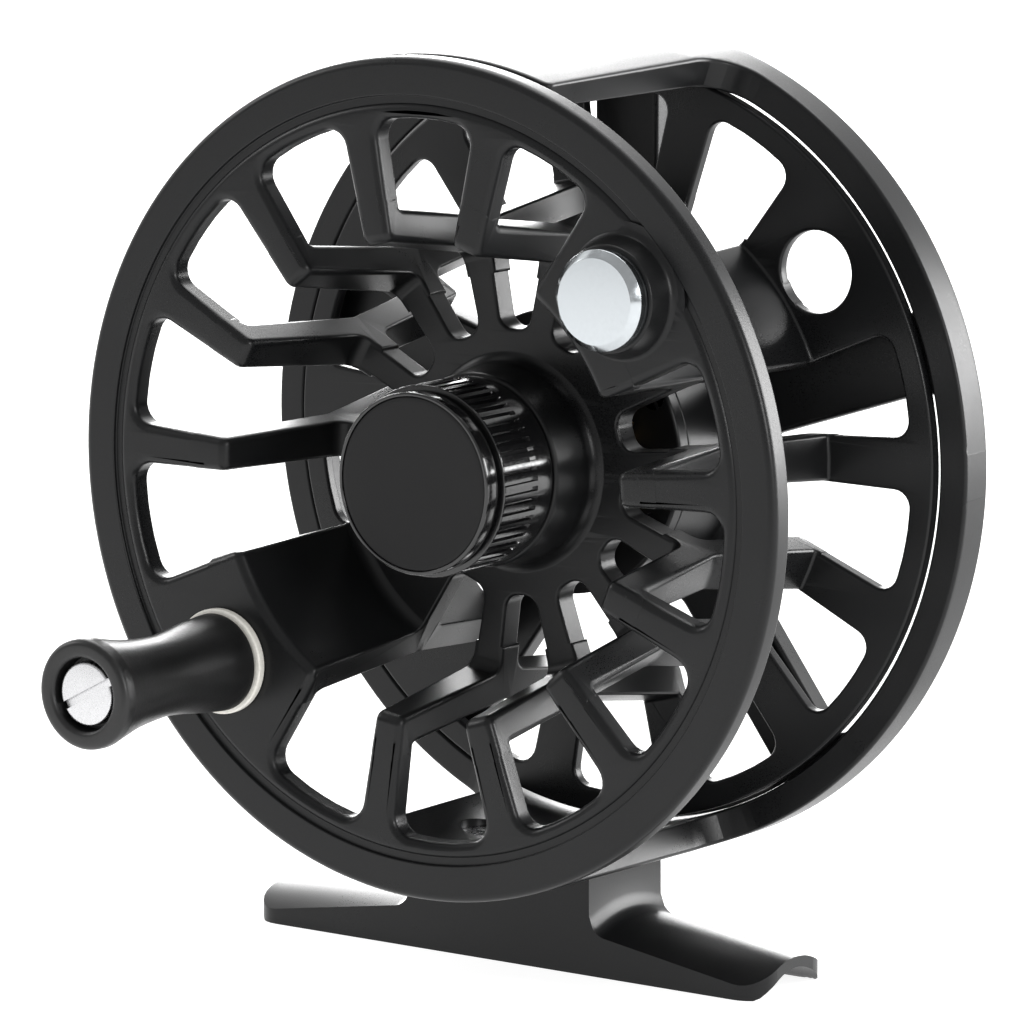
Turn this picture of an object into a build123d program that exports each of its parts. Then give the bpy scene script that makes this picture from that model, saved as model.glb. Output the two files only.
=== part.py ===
from build123d import *
import math
import os

# Fly reel, 85 mm class.
# The model is drawn about the spool's axis: the axis is the Y line through the origin,
# the front face of the spool is at y = 0 and y grows towards the back of the reel.
# The pieces are then moved so that the origin is under the middle of the foot.

# ---- driving dimensions, mm ----
AXIS_HEIGHT = 51.5          # spool axis above the soles of the foot
FOOT_MIDDLE_Y = 20.5        # middle of the foot behind the spool's front face
FIT = 0.05                  # radial gap of a running fit
SEAT = 0.02                 # radial gap of a close seat

# spool
RIM_R = 42.5
RIM_DEPTH = 2.7
RIM_CHAMFER = 0.7
GROOVE_R = (38.0, 38.7)
GROOVE_DEPTH = 0.35
FLANGE_T = 2.5
ARBOR_R = (24.2, 27.3)      # at both flanges
WAIST_R = (21.9, 25.0)      # at the web
WEB_Y = (16.4, 19.4)
REAR_FLANGE_Y = (33.4, 34.9)
REAR_FLANGE_R = 39.6
BOSS_FRONT_Y = 10.2
BOSS_R = (9.9, 10.5, 12.6)
HUB_BACK_Y = 21.5
HUB_BACK_R = 9.0
WEIGHT_ANGLE = 40.0         # direction of the counterweight, the handle is opposite
HANDLE_RADIUS = 32.1
SPOKE_ANGLES = (36.2, 61.8, 87.4, 113.0, 138.6)
WINDOW_IN = 13.8
WINDOW_OUT = 36.4
REAR_WINDOW_OUT = 37.0
REAR_TURN = -2.4            # rear flange turned against the front one
WINDOW_FILLET = (1.4, 2.4)
FRONT_SPOKE_HALF = (1.35, 2.1)
REAR_SPOKE_HALF = (1.9, 2.75)
WEIGHT_SPOKE_HALF = (3.6, 9.6)
HANDLE_SPOKE_HALF = (4.5, 11.3)
LOCK_HOLE_R = 4.2

# frame
RING_R = (40.0, 43.2)
RING_Y = (34.0, 38.2)
BAR_FRONT_Y = 3.2
BAR_FRONT_R = 42.6          # the bars' outside widens to the ring's by BAR_DRAFT_END_Y
BAR_DRAFT_END_Y = 26.0
BAR_HALF_ANGLE = 19.0
BAR_FLARE_R = 5.0
BACK_PLATE_Y = (36.6, 39.4)
BACK_SPOKE_ANGLES = (90.0, 162.0, 234.0, 306.0, 18.0)
BACK_SPOKE_W = 7.8
BACK_HUB_R = 17.0
BACK_WINDOW_OUT = 39.4
BACK_WINDOW_FILLET = 3.0
CUP_R = (11.8, 14.8)
CUP_FRONT_Y = 26.6
CUP_FLOOR_Y = 34.4
REAR_BOSS_R = 7.5
REAR_BOSS_Y = 42.2

# foot
FOOT_HALF_LENGTH = 32.0
FOOT_WIDTH = 13.0
FOOT_CHANNEL_HALF = 5.6
FOOT_CHANNEL_RISE = 2.5
FOOT_TIP_EDGE = 1.1
FOOT_TIP_CROWN = 3.6
FOOT_MID_EDGE = 4.4
FOOT_MID_CROWN = 5.6
PEDESTAL_HALF = 11.3
FOOT_SCREW_X = 6.0

# centre
SPINDLE_R = 3.0
BEARING_R = 5.0
BEARING_T = 3.0
DRIVE_R = 7.0
HEX_FLATS = 12.0
NOSE_R = 4.0
NOSE_BORE_R = 2.9
GEAR_TEETH = 24
GEAR_R = (9.1, 10.2)
GEAR_Y = (22.6, 24.6)
COVER_Y = (25.0, 26.6)
COVER_BORE_R = 7.6
PAWL_ANGLE = 135.0
PAWL_PIVOT_ANGLE = 160.0
PAWL_PIVOT_R = 12.6
COVER_SCREW_CIRCLE = 13.2
COVER_SCREW_HEAD_R = 1.3
COVER_SCREW_R = 0.7
THRUST_PIN_R = 0.9
THRUST_PIN_CIRCLE = 5.0
DETENT_CIRCLE = 10.0
DETENT_R = 0.8
DETENT_SPRING_Y = (37.05, 38.55)
SPINDLE_Y = (15.0, 45.8)
SPINDLE_THREAD_R = 1.5
BEARING_FRONT_Y = (15.2, 26.4)
BEARING_RACE_R = (3.6, 4.5)
NOSE_Y = (4.0, 14.0)
HEX_BACK_Y = 22.0
DRIVE_BACK_Y = 29.9
HUB_SCREW_HEAD_Y = (12.4, 14.9)
HUB_SCREW_HEAD_R = 2.7
CLUTCH_R = 9.0
CLUTCH_Y = (27.8, 29.8)
ROTOR_R = (9.8, 11.3)
ROTOR_BACK_Y = 29.0
SEAL_Y = (25.2, 26.4)
STACK_R = 11.6
FRONT_WASHER_Y = (26.7, 27.7)
REAR_WASHER_Y = (29.1, 30.1)
PRESSURE_PLATE_Y = (30.5, 31.9)
SPRING_R = (3.3, 6.0)
SPRING_T = 0.3
SPRING_DISH = 0.35
FRONT_SPRING_Y = 32.0
REAR_SPRING_Y = 33.4
THRUST_PIN_Y = (33.5, 42.5)
THRUST_WASHER_Y = (42.6, 43.2)
THRUST_WASHER_R = 6.4
PAWL_Y = (22.9, 24.5)
PAWL_PIN_R = 0.6
PAWL_PIN_Y = (22.6, 28.6)
PAWL_PIN_HEAD_R = 1.1
LEAF_Y = (23.0, 24.96)
RETAINER_Y = (11.7, 12.3)
RETAINER_R = (5.05, 6.6)

# knobs and handle
KNOB_R = (9.2, 9.7)
KNOB_BACK_Y = 10.0
KNOB_NECK_R = 5.6
KNOB_NECK_BACK_Y = 13.3
KNOB_FACE_Y = -0.7
KNOB_FACE_RECESS_R = 8.75
KNURLS = 60
KNURL_Y = (1.6, 7.2)
KNURL_R = 0.3
DRAG_KNOB_R = 12.5
DRAG_KNOB_Y = (39.8, 49.2)
DRAG_KNOB_FLUTES = 18
GRIP_END_Y = -22.8
GRIP_BORE_R = 2.05
GRIP_FRONT_Y = -1.1
GRIP_RECESS_R = 3.7
GRIP_RECESS_DEPTH = 2.2
HANDLE_PIN_R = 2.0
HANDLE_THREAD_R = 1.65
HANDLE_HEAD_R = 3.2
HANDLE_HEAD_T = 1.5
HANDLE_SLOT_W = 0.8
HANDLE_SLOT_ANGLE = 62.0
WASHER_R = 5.4
WASHER_Y = (-0.9, -0.05)

# counterweight and its boss
WEIGHT_R = (4.3, 5.0)
WEIGHT_Y = (-4.6, -3.9, -2.65)
WEIGHT_STUD_R = 2.95
WEIGHT_BOSS_R = (5.2, 6.5)
WEIGHT_BOSS_Y = -2.6
HANDLE_BOSS_R = 4.2
HANDLE_BOSS_BACK_Y = 4.2

# drag knob's inside
KNOB_SOCKET_R = 7.65
KNOB_SOCKET_Y = 43.4
KNOB_CAP_R = 5.5
KNOB_CAP_Y = (48.1, 49.1)
KNOB_SCREW_SEAT_Y = 46.2
KNOB_SCREW_HEAD_Y = (46.85, 47.8)
KNOB_SCREW_HEAD_R = 2.8


def polar(radius, degrees):
    """Point on a circle about the spool's axis, as (x, z)."""
    angle = math.radians(degrees)
    return (radius * math.cos(angle), radius * math.sin(angle))


def beside(radius, degrees, side):
    """Point at a distance along a direction and a distance to the side of it."""
    angle = math.radians(degrees)
    x = radius * math.cos(angle) - side * math.sin(angle)
    z = radius * math.sin(angle) + side * math.cos(angle)
    return (x, z)


def turned(*points):
    """Solid of revolution about the spool's axis from (radius, y) points."""
    profile = make_face(Polyline(*points, close=True))
    return revolve(profile, Axis.Y, 360)


def sleeve(inner, outer, front, back):
    return turned((inner, front), (outer, front), (outer, back), (inner, back))


def rod(radius, front, back, centre=(0, 0)):
    return prism(Pos(*centre) * Circle(radius), front, back)


def prism(sketch, front, back):
    """A sketch in (x, z) carried from one depth to another."""
    plane = Plane(origin=(0, back, 0), x_dir=(1, 0, 0), z_dir=(0, -1, 0))
    return extrude(plane * sketch, amount=back - front)


def polygon(*points):
    return make_face(Polyline(*points, close=True))


def ring_of(count, piece, start=0.0):
    """Copies of a piece turned about the spool's axis."""
    step = 360.0 / count
    return [piece.rotate(Axis.Y, -(start + step * number)) for number in range(count)]


def fillet_corners(face, radius, near, far):
    """Round the corners of a flat face that lie between two distances from the axis."""
    corners = [v for v in face.vertices() if near < math.hypot(v.X, v.Y) < far]
    return fillet(corners, radius)


# ---- spool ----
def window(first, second, first_half, second_half, inner, outer):
    """One opening between two spokes, given their directions and half widths."""
    reach = RIM_R
    grow = (reach - WINDOW_IN) / (WINDOW_OUT - WINDOW_IN)

    def flank(direction, half, sign):
        at_reach = half[0] + (half[1] - half[0]) * grow
        return beside(inner, direction, sign * half[0]), beside(reach, direction, sign * at_reach)

    start_in, start_out = flank(first, first_half, 1)
    end_in, end_out = flank(second, second_half, -1)
    shape = polygon(start_in, start_out, end_out, end_in) & Circle(outer)
    shape = fillet_corners(shape.faces()[0], WINDOW_FILLET[1], outer - 1, outer + 1)
    return fillet_corners(shape.faces()[0], WINDOW_FILLET[0], inner - 2, inner + 4)


def windows(narrow_half, inner, outer, turn, front, back):
    """All twelve openings, six on each side of the handle's line."""
    cuts = []
    for side in (1, -1):
        directions = [0.0] + [side * angle for angle in SPOKE_ANGLES] + [side * 180.0]
        halves = [WEIGHT_SPOKE_HALF] + [narrow_half] * len(SPOKE_ANGLES) + [HANDLE_SPOKE_HALF]
        for number in range(len(directions) - 1):
            pair = [(directions[number], halves[number]), (directions[number + 1], halves[number + 1])]
            if side < 0:
                pair.reverse()
            start = WEIGHT_ANGLE + turn
            shape = window(start + pair[0][0], start + pair[1][0], pair[0][1], pair[1][1], inner, outer)
            cuts.append(prism(shape, front, back))
    return cuts


def spool():
    rim_front = RIM_R - RIM_CHAMFER
    body = turned(
        (0, BOSS_FRONT_Y), (BOSS_R[0], BOSS_FRONT_Y), (BOSS_R[1], WEB_Y[0] - 1.8),
        (BOSS_R[2], WEB_Y[0]), (WAIST_R[0], WEB_Y[0]), (ARBOR_R[0], 0),
        (GROOVE_R[0], 0), (GROOVE_R[0], GROOVE_DEPTH), (GROOVE_R[1], GROOVE_DEPTH), (GROOVE_R[1], 0),
        (rim_front, 0), (RIM_R, RIM_CHAMFER), (RIM_R, RIM_DEPTH), (GROOVE_R[1] + 0.8, RIM_DEPTH),
        (GROOVE_R[1], FLANGE_T), (ARBOR_R[1], FLANGE_T), (WAIST_R[1], WEB_Y[0]), (WAIST_R[1], WEB_Y[1]),
        (ARBOR_R[1], REAR_FLANGE_Y[0]),
        (REAR_FLANGE_R, REAR_FLANGE_Y[0]), (REAR_FLANGE_R, REAR_FLANGE_Y[1]),
        (ARBOR_R[0], REAR_FLANGE_Y[1]), (WAIST_R[0], WEB_Y[1]), (HUB_BACK_R, WEB_Y[1]),
        (HUB_BACK_R, HUB_BACK_Y), (0, HUB_BACK_Y),
    )
    middle = WEB_Y[1] + 0.6
    for cut in windows(FRONT_SPOKE_HALF, WINDOW_IN, WINDOW_OUT, 0, -1.0, middle):
        body -= cut
    rear_in = WAIST_R[0] - 4
    for cut in windows(REAR_SPOKE_HALF, rear_in, REAR_WINDOW_OUT, REAR_TURN, middle, REAR_FLANGE_Y[1] + 1):
        body -= cut
    weight_x, weight_z = polar(HANDLE_RADIUS, WEIGHT_ANGLE)
    handle_x, handle_z = polar(HANDLE_RADIUS, WEIGHT_ANGLE + 180)
    boss = turned(
        (0, WEIGHT_BOSS_Y), (WEIGHT_BOSS_R[0], WEIGHT_BOSS_Y), (WEIGHT_BOSS_R[1], FLANGE_T), (0, FLANGE_T)
    )
    body += Pos(weight_x, 0, weight_z) * boss
    body -= rod(WEIGHT_STUD_R + FIT, WEIGHT_BOSS_Y - 1, FLANGE_T + 0.1, (weight_x, weight_z))
    hole = polar(HANDLE_RADIUS, WEIGHT_ANGLE + REAR_TURN)
    body -= rod(LOCK_HOLE_R, REAR_FLANGE_Y[0] - 0.1, REAR_FLANGE_Y[1] + 1, hole)
    body += rod(HANDLE_BOSS_R, FLANGE_T - 0.2, HANDLE_BOSS_BACK_Y, (handle_x, handle_z))
    body -= rod(HANDLE_THREAD_R + FIT, -1, HANDLE_BOSS_BACK_Y + 1, (handle_x, handle_z))
    hexagon = RegularPolygon(HEX_FLATS / 2 + FIT, 6, major_radius=False)
    body -= prism(hexagon, BOSS_FRONT_Y, HUB_BACK_Y + 1)
    body -= rod(KNOB_NECK_R + 0.3, BOSS_FRONT_Y - 1, KNOB_NECK_BACK_Y + 0.3)
    return body - sleeve(RETAINER_R[0], RETAINER_R[1] + 0.1, RETAINER_Y[0] - 0.1, RETAINER_Y[1] + 0.1)


def counterweight():
    front, chamfer, back = WEIGHT_Y
    stud = turned(
        (0, front), (WEIGHT_R[0], front), (WEIGHT_R[1], chamfer), (WEIGHT_R[1], back),
        (WEIGHT_STUD_R, back), (WEIGHT_STUD_R, FLANGE_T), (0, FLANGE_T),
    )
    x, z = polar(HANDLE_RADIUS, WEIGHT_ANGLE)
    return Pos(x, 0, z) * stud


# ---- release knob on the front ----
def release_knob():
    body = turned(
        (0, KNOB_FACE_Y + 0.8), (KNOB_FACE_RECESS_R, KNOB_FACE_Y + 0.8), (KNOB_FACE_RECESS_R, KNOB_FACE_Y),
        (KNOB_R[0] - 0.25, KNOB_FACE_Y), (KNOB_R[0], KNOB_FACE_Y + 0.3), (KNOB_R[0], KNOB_FACE_Y + 1.6),
        (8.8, KNOB_FACE_Y + 1.75), (8.8, KNOB_FACE_Y + 2.2), (KNOB_R[1], KNOB_FACE_Y + 2.4),
        (KNOB_R[1], KNOB_BACK_Y - 0.3), (KNOB_R[1] - 0.3, KNOB_BACK_Y), (KNOB_NECK_R, KNOB_BACK_Y),
        (KNOB_NECK_R, RETAINER_Y[0] - 0.15), (RETAINER_R[0] - 0.1, RETAINER_Y[0] - 0.15),
        (RETAINER_R[0] - 0.1, RETAINER_Y[1] + 0.15), (KNOB_NECK_R, RETAINER_Y[1] + 0.15),
        (KNOB_NECK_R, KNOB_NECK_BACK_Y), (0, KNOB_NECK_BACK_Y),
    )
    flute = rod(KNURL_R, *KNURL_Y, polar(KNOB_R[1] + 0.12, 0))
    body -= ring_of(KNURLS, flute)
    return body - rod(NOSE_R + FIT, NOSE_Y[0] - 0.6, NOSE_Y[1])


def knob_face_disc():
    edge = KNOB_FACE_RECESS_R - FIT
    front, back = KNOB_FACE_Y + 0.1, KNOB_FACE_Y + 0.78
    return turned((0, front), (edge - 0.15, front), (edge, front + 0.15), (edge, back), (0, back))


def knob_retaining_ring():
    """Open snap ring."""
    gap = polygon((0, -1.2), (9, -1.2), (9, 1.2), (0, 1.2))
    return sleeve(*RETAINER_R, *RETAINER_Y) - prism(gap, RETAINER_Y[0] - 1, RETAINER_Y[1] + 1)


# ---- handle ----
def at_handle(piece):
    x, z = polar(HANDLE_RADIUS, WEIGHT_ANGLE + 180)
    return Pos(x, 0, z) * piece


def handle_grip():
    outline = Spline((5.0, GRIP_FRONT_Y), (4.45, -6.0), (4.15, -11.0), (4.75, -16.5), (5.65, -20.4))
    recess = GRIP_END_Y + GRIP_RECESS_DEPTH
    end = Polyline(
        (5.65, -20.4), (5.6, -21.5), (5.1, GRIP_END_Y), (GRIP_RECESS_R, GRIP_END_Y),
        (GRIP_RECESS_R, recess), (GRIP_BORE_R, recess), (GRIP_BORE_R, GRIP_FRONT_Y), (5.0, GRIP_FRONT_Y),
    )
    return at_handle(revolve(make_face([outline, end]), Axis.Y, 360))


def handle_screw():
    """Shoulder screw that the grip turns on, with a slotted head."""
    head_back = GRIP_END_Y + GRIP_RECESS_DEPTH - 0.1
    head_front = head_back - HANDLE_HEAD_T
    pin = turned(
        (0, head_front), (HANDLE_HEAD_R - 0.3, head_front), (HANDLE_HEAD_R, head_front + 0.3),
        (HANDLE_HEAD_R, head_back), (HANDLE_PIN_R, head_back), (HANDLE_PIN_R, -0.02),
        (HANDLE_THREAD_R, -0.02), (HANDLE_THREAD_R, 4.0), (0, 4.0),
    )
    slot = Pos(0, head_front, 0) * Box(HANDLE_SLOT_W, 1.2, 8).rotate(Axis.Y, HANDLE_SLOT_ANGLE)
    return at_handle(pin - slot)


def handle_washer():
    return at_handle(sleeve(HANDLE_PIN_R + FIT, WASHER_R, *WASHER_Y))


# ---- frame ----
def wedge(middle, half):
    """Flat wedge between two directions, with its point on the axis."""
    reach = RING_R[1] * 1.2
    return polygon((0, 0), polar(reach, middle - half), polar(reach, middle), polar(reach, middle + half))


def bar_blank():
    """Drafted sleeve that both crossbars are cut from."""
    back = RING_Y[1] - 0.6
    return turned(
        (RING_R[0], BAR_FRONT_Y), (BAR_FRONT_R, BAR_FRONT_Y), (RING_R[1], BAR_DRAFT_END_Y),
        (RING_R[1], back), (RING_R[0], back),
    )


def back_window(first, second):
    """One opening of the back plate between two spokes."""
    half = BACK_SPOKE_W / 2
    shape = polygon(
        beside(0, first, half), beside(RIM_R, first, half),
        polar(RIM_R * 1.3, (first + second) / 2),
        beside(RIM_R, second, -half), beside(0, second, -half),
    )
    shape = (shape & Circle(BACK_WINDOW_OUT)) - Circle(BACK_HUB_R)
    return fillet(shape.faces()[0].vertices(), BACK_WINDOW_FILLET)


def frame_casting():
    body = turned(
        (0, CUP_FLOOR_Y), (CUP_R[0], CUP_FLOOR_Y), (CUP_R[0], CUP_FRONT_Y), (CUP_R[1], CUP_FRONT_Y),
        (CUP_R[1], BACK_PLATE_Y[0]), (RING_R[0], BACK_PLATE_Y[0]), (RING_R[0], RING_Y[0]),
        (RING_R[1], RING_Y[0]), (RING_R[1], RING_Y[1] - 0.5),
        (RING_R[1] - 0.5, RING_Y[1]), (RING_R[1] - 1.5, RING_Y[1] + 0.3), (RING_R[1] - 2.2, BACK_PLATE_Y[1]),
        (REAR_BOSS_R, BACK_PLATE_Y[1]), (REAR_BOSS_R, REAR_BOSS_Y), (0, REAR_BOSS_Y),
    )
    for number in range(len(BACK_SPOKE_ANGLES)):
        first = BACK_SPOKE_ANGLES[number]
        window_cut = back_window(first, first + 360.0 / len(BACK_SPOKE_ANGLES))
        body -= prism(window_cut, BACK_PLATE_Y[0] - 1, BACK_PLATE_Y[1] + 1)
    for middle in (90, 270):
        bar = bar_blank() & prism(wedge(middle, BAR_HALF_ANGLE), BAR_FRONT_Y - 1, RING_Y[1])
        front_corners = [
            edge for edge in bar.edges().filter_by(GeomType.LINE)
            if abs(edge.center().Y - BAR_FRONT_Y) < 0.01
        ]
        body += fillet(front_corners, 0.8)
    inside_corners = [
        edge for edge in body.edges().filter_by(GeomType.LINE)
        if abs(edge.center().Y - RING_Y[0]) < 0.4 and edge.length < 4
    ]
    body = fillet(inside_corners, BAR_FLARE_R)
    body -= rod(SPINDLE_R + SEAT, CUP_FLOOR_Y - 1, REAR_BOSS_Y + 1)
    pin_hole = rod(THRUST_PIN_R + FIT, CUP_FLOOR_Y - 1, REAR_BOSS_Y + 1, polar(THRUST_PIN_CIRCLE, 0))
    body -= ring_of(3, pin_hole, 30)
    detent_place = polar(DETENT_CIRCLE, 90)
    body -= rod(DETENT_R + FIT, DETENT_SPRING_Y[0] - FIT, BACK_PLATE_Y[1] + 1, detent_place)
    screw_place = polar(COVER_SCREW_CIRCLE, 0)
    screw_hole = rod(COVER_SCREW_R + SEAT, CUP_FRONT_Y - 1, CUP_FRONT_Y + 3.4, screw_place)
    body -= ring_of(3, screw_hole, 30)
    pawl_place = polar(PAWL_PIVOT_R, PAWL_PIVOT_ANGLE)
    body -= rod(PAWL_PIN_R + SEAT, CUP_FRONT_Y - 1, PAWL_PIN_Y[1] + 0.2, pawl_place)
    for x in (-FOOT_SCREW_X, FOOT_SCREW_X):
        body -= foot_screw_shape(x, 0.1)
    return body


# ---- foot ----
def foot_screw_shape(x, gap):
    """Countersunk screw through the bottom bar, head upwards, grown by a gap."""
    top = -RING_R[0] * math.cos(math.asin(x / RING_R[0])) - 0.35 + gap
    length = 8.2 + 3 * gap
    head = Cone(1.5 + gap, 2.8 + gap, 1.6, align=(Align.CENTER, Align.CENTER, Align.MAX))
    shank = Cylinder(1.5 + gap, length, align=(Align.CENTER, Align.CENTER, Align.MAX))
    screw = head + shank
    if gap:
        screw += Cylinder(2.8 + gap, 3, align=(Align.CENTER, Align.CENTER, Align.MIN))
    return Pos(x, FOOT_MIDDLE_Y, top) * screw


def foot_screws():
    screws = []
    for x in (-FOOT_SCREW_X, FOOT_SCREW_X):
        screw = foot_screw_shape(x, 0)
        top = screw.bounding_box().max.Z
        screw -= Pos(x, FOOT_MIDDLE_Y, top) * Box(0.7, 4.4, 1.4)
        screw -= Pos(x, FOOT_MIDDLE_Y, top) * Box(4.4, 0.7, 1.4)
        screws.append(screw)
    return Compound(children=screws)


def foot_section(x, edge, crown):
    """Cross-section of a wing: a saddle over a shallow channel."""
    half = FOOT_WIDTH / 2
    plane = Plane(origin=(x, FOOT_MIDDLE_Y, -AXIS_HEIGHT), x_dir=(0, 1, 0), z_dir=(1, 0, 0))
    outline = [
        Line((-half, 0), (-half, edge)),
        ThreePointArc((-half, edge), (0, crown), (half, edge)),
        Line((half, edge), (half, 0)),
        Line((half, 0), (FOOT_CHANNEL_HALF, 0)),
        ThreePointArc((FOOT_CHANNEL_HALF, 0), (0, FOOT_CHANNEL_RISE), (-FOOT_CHANNEL_HALF, 0)),
        Line((-FOOT_CHANNEL_HALF, 0), (-half, 0)),
    ]
    return plane * make_face(outline)


def foot():
    middle = foot_section(-PEDESTAL_HALF, FOOT_MID_EDGE, FOOT_MID_CROWN)
    body = extrude(middle, amount=2 * PEDESTAL_HALF)
    for side in (-1, 1):
        root = foot_section(side * PEDESTAL_HALF, FOOT_MID_EDGE, FOOT_MID_CROWN)
        tip = foot_section(side * FOOT_HALF_LENGTH, FOOT_TIP_EDGE, FOOT_TIP_CROWN)
        body += loft([root, tip])
    footprint = RectangleRounded(2 * FOOT_HALF_LENGTH, FOOT_WIDTH, 3.2)
    body &= Pos(0, FOOT_MIDDLE_Y, -AXIS_HEIGHT) * extrude(footprint, amount=12)
    top = -40.0
    base = -AXIS_HEIGHT + FOOT_MID_EDGE - 0.6
    pedestal = Pos(0, FOOT_MIDDLE_Y, (top + base) / 2) * Box(2 * PEDESTAL_HALF, FOOT_WIDTH, top - base)
    body += pedestal
    body -= turned(
        (0, BAR_FRONT_Y), (BAR_FRONT_R + FIT, BAR_FRONT_Y),
        (RING_R[1] + FIT, BAR_DRAFT_END_Y), (RING_R[1] + FIT, RING_Y[1]), (0, RING_Y[1])
    )
    for x in (-FOOT_SCREW_X, FOOT_SCREW_X):
        body -= foot_screw_shape(x, 0.1)
    return body


# ---- spindle and drive ----
def spindle():
    """Fixed shaft with a tapped hole at each end."""
    body = rod(SPINDLE_R, *SPINDLE_Y)
    body -= rod(SPINDLE_THREAD_R, SPINDLE_Y[0] - 1, SPINDLE_Y[0] + 8)
    return body - rod(SPINDLE_THREAD_R, SPINDLE_Y[1] - 6.6, SPINDLE_Y[1] + 1)


def drive_hub():
    """Round nose, hexagonal middle and round back end, over two bearings."""
    body = rod(NOSE_R, *NOSE_Y)
    body += prism(RegularPolygon(HEX_FLATS / 2, 6, major_radius=False), NOSE_Y[1], HEX_BACK_Y)
    body += rod(DRIVE_R, HEX_BACK_Y, DRIVE_BACK_Y)
    body -= rod(NOSE_BORE_R, NOSE_Y[0] - 1, NOSE_Y[1] + 1)
    return body - rod(BEARING_R + SEAT, BEARING_FRONT_Y[0] - 0.4, DRIVE_BACK_Y + 1)


def bearing(front):
    """Shielded ball bearing as one ring with a shallow recess on each face."""
    back = front + BEARING_T
    dish = 0.15
    near, far = BEARING_RACE_R
    return turned(
        (SPINDLE_R + SEAT, front), (near, front), (near, front + dish), (far, front + dish), (far, front),
        (BEARING_R, front), (BEARING_R, back), (far, back), (far, back - dish), (near, back - dish),
        (near, back), (SPINDLE_R + SEAT, back),
    )


def hub_screw():
    front, back = HUB_SCREW_HEAD_Y
    head = rod(HUB_SCREW_HEAD_R, front, back) + rod(SPINDLE_THREAD_R - 0.08, back - 0.1, SPINDLE_Y[0] + 7)
    return head - prism(RegularPolygon(1.25, 6), front - 1, front + 1.4)


def click_gear():
    points = []
    pitch = 360.0 / GEAR_TEETH
    for tooth in range(GEAR_TEETH):
        points.append(polar(GEAR_R[0], pitch * tooth))
        points.append(polar(GEAR_R[1], pitch * (tooth + 0.5)))
    return prism(polygon(*points), *GEAR_Y) - rod(DRIVE_R + SEAT, GEAR_Y[0] - 1, GEAR_Y[1] + 1)


def one_way_clutch():
    return sleeve(DRIVE_R + SEAT, CLUTCH_R, *CLUTCH_Y)


def drag_rotor():
    front, back = CLUTCH_Y
    inner = CLUTCH_R + SEAT
    step, outer = ROTOR_R
    return turned(
        (inner, front), (outer, front), (outer, ROTOR_BACK_Y), (step, ROTOR_BACK_Y), (step, back), (inner, back)
    )


# ---- drag stack ----
def drag_cover():
    body = sleeve(COVER_BORE_R, CUP_R[1], *COVER_Y)
    place = polar(COVER_SCREW_CIRCLE, 0)
    front, back = COVER_Y
    hole = rod(COVER_SCREW_R + 0.15, front - 1, back + 0.4, place)
    hole += rod(COVER_SCREW_HEAD_R + FIT, front - 1, front + 0.7, place)
    body -= ring_of(3, hole, 30)
    return body - rod(PAWL_PIN_R + SEAT, front - 1, back + 0.4, polar(PAWL_PIVOT_R, PAWL_PIVOT_ANGLE))


def cover_screws():
    x, z = polar(COVER_SCREW_CIRCLE, 0)
    front = COVER_Y[0]
    screw = rod(COVER_SCREW_HEAD_R, front, front + 0.68, (x, z))
    screw += rod(COVER_SCREW_R, front + 0.6, front + 4.5, (x, z))
    screw -= Pos(x, front, z) * Box(0.4, 0.6, 2.6)
    return Compound(children=ring_of(3, screw, 30))


def hub_seal():
    return sleeve(DRIVE_R + FIT, COVER_BORE_R - SEAT, *SEAL_Y)


def front_drag_washer():
    return sleeve(COVER_BORE_R, STACK_R, *FRONT_WASHER_Y)


def rear_drag_washer():
    return sleeve(ROTOR_R[0] + 0.15, STACK_R, *REAR_WASHER_Y)


def pressure_plate():
    return sleeve(SPINDLE_R + FIT, STACK_R, *PRESSURE_PLATE_Y)


def disc_springs():
    """Two cone washers, rim to rim."""
    inner, outer = SPRING_R
    springs = []
    for end, way in ((FRONT_SPRING_Y, 1), (REAR_SPRING_Y, -1)):
        springs.append(turned(
            (inner, end), (outer, end + way * SPRING_DISH), (outer, end + way * (SPRING_DISH + SPRING_T)),
            (inner, end + way * SPRING_T),
        ))
    return Compound(children=springs)


def thrust_pins():
    pin = rod(THRUST_PIN_R, *THRUST_PIN_Y, polar(THRUST_PIN_CIRCLE, 0))
    return Compound(children=ring_of(3, pin, 30))


def thrust_washer():
    return sleeve(SPINDLE_R + 0.3, THRUST_WASHER_R, *THRUST_WASHER_Y)


# ---- click pawl ----
def click_pawl():
    """Lever with its nose in a tooth gap, which lifts outwards about its pin."""
    pivot = polar(PAWL_PIVOT_R, PAWL_PIVOT_ANGLE)
    tip = polar(9.5, PAWL_ANGLE)
    low = beside(10.6, PAWL_ANGLE, -0.65)
    high = beside(12.2, PAWL_ANGLE, -0.4)
    back = beside(13.6, PAWL_PIVOT_ANGLE, -0.9)
    root = beside(11.4, PAWL_PIVOT_ANGLE, -0.7)
    inner = beside(10.6, PAWL_ANGLE, 0.65)
    shape = polygon(tip, low, high, back, root, inner) + Pos(*pivot) * Circle(1.5)
    return prism(shape, *PAWL_Y) - rod(PAWL_PIN_R + FIT, PAWL_Y[0] - 1, PAWL_Y[1] + 1, pivot)


def pawl_pin():
    pivot = polar(PAWL_PIVOT_R, PAWL_PIVOT_ANGLE)
    front, back = PAWL_PIN_Y
    return rod(PAWL_PIN_R, front, back, pivot) + rod(PAWL_PIN_HEAD_R, front - 0.3, front + 0.2, pivot)


def pawl_spring():
    """Leaf that presses the pawl down, held in the face of the cover."""
    leaf = polygon(
        beside(13.9, 138, 0), beside(14.2, 138, 0), beside(14.45, 128, 0), beside(14.45, 118, 0),
        beside(14.15, 118, 0), beside(14.15, 128, 0),
    )
    return prism(leaf, *LEAF_Y)


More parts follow.
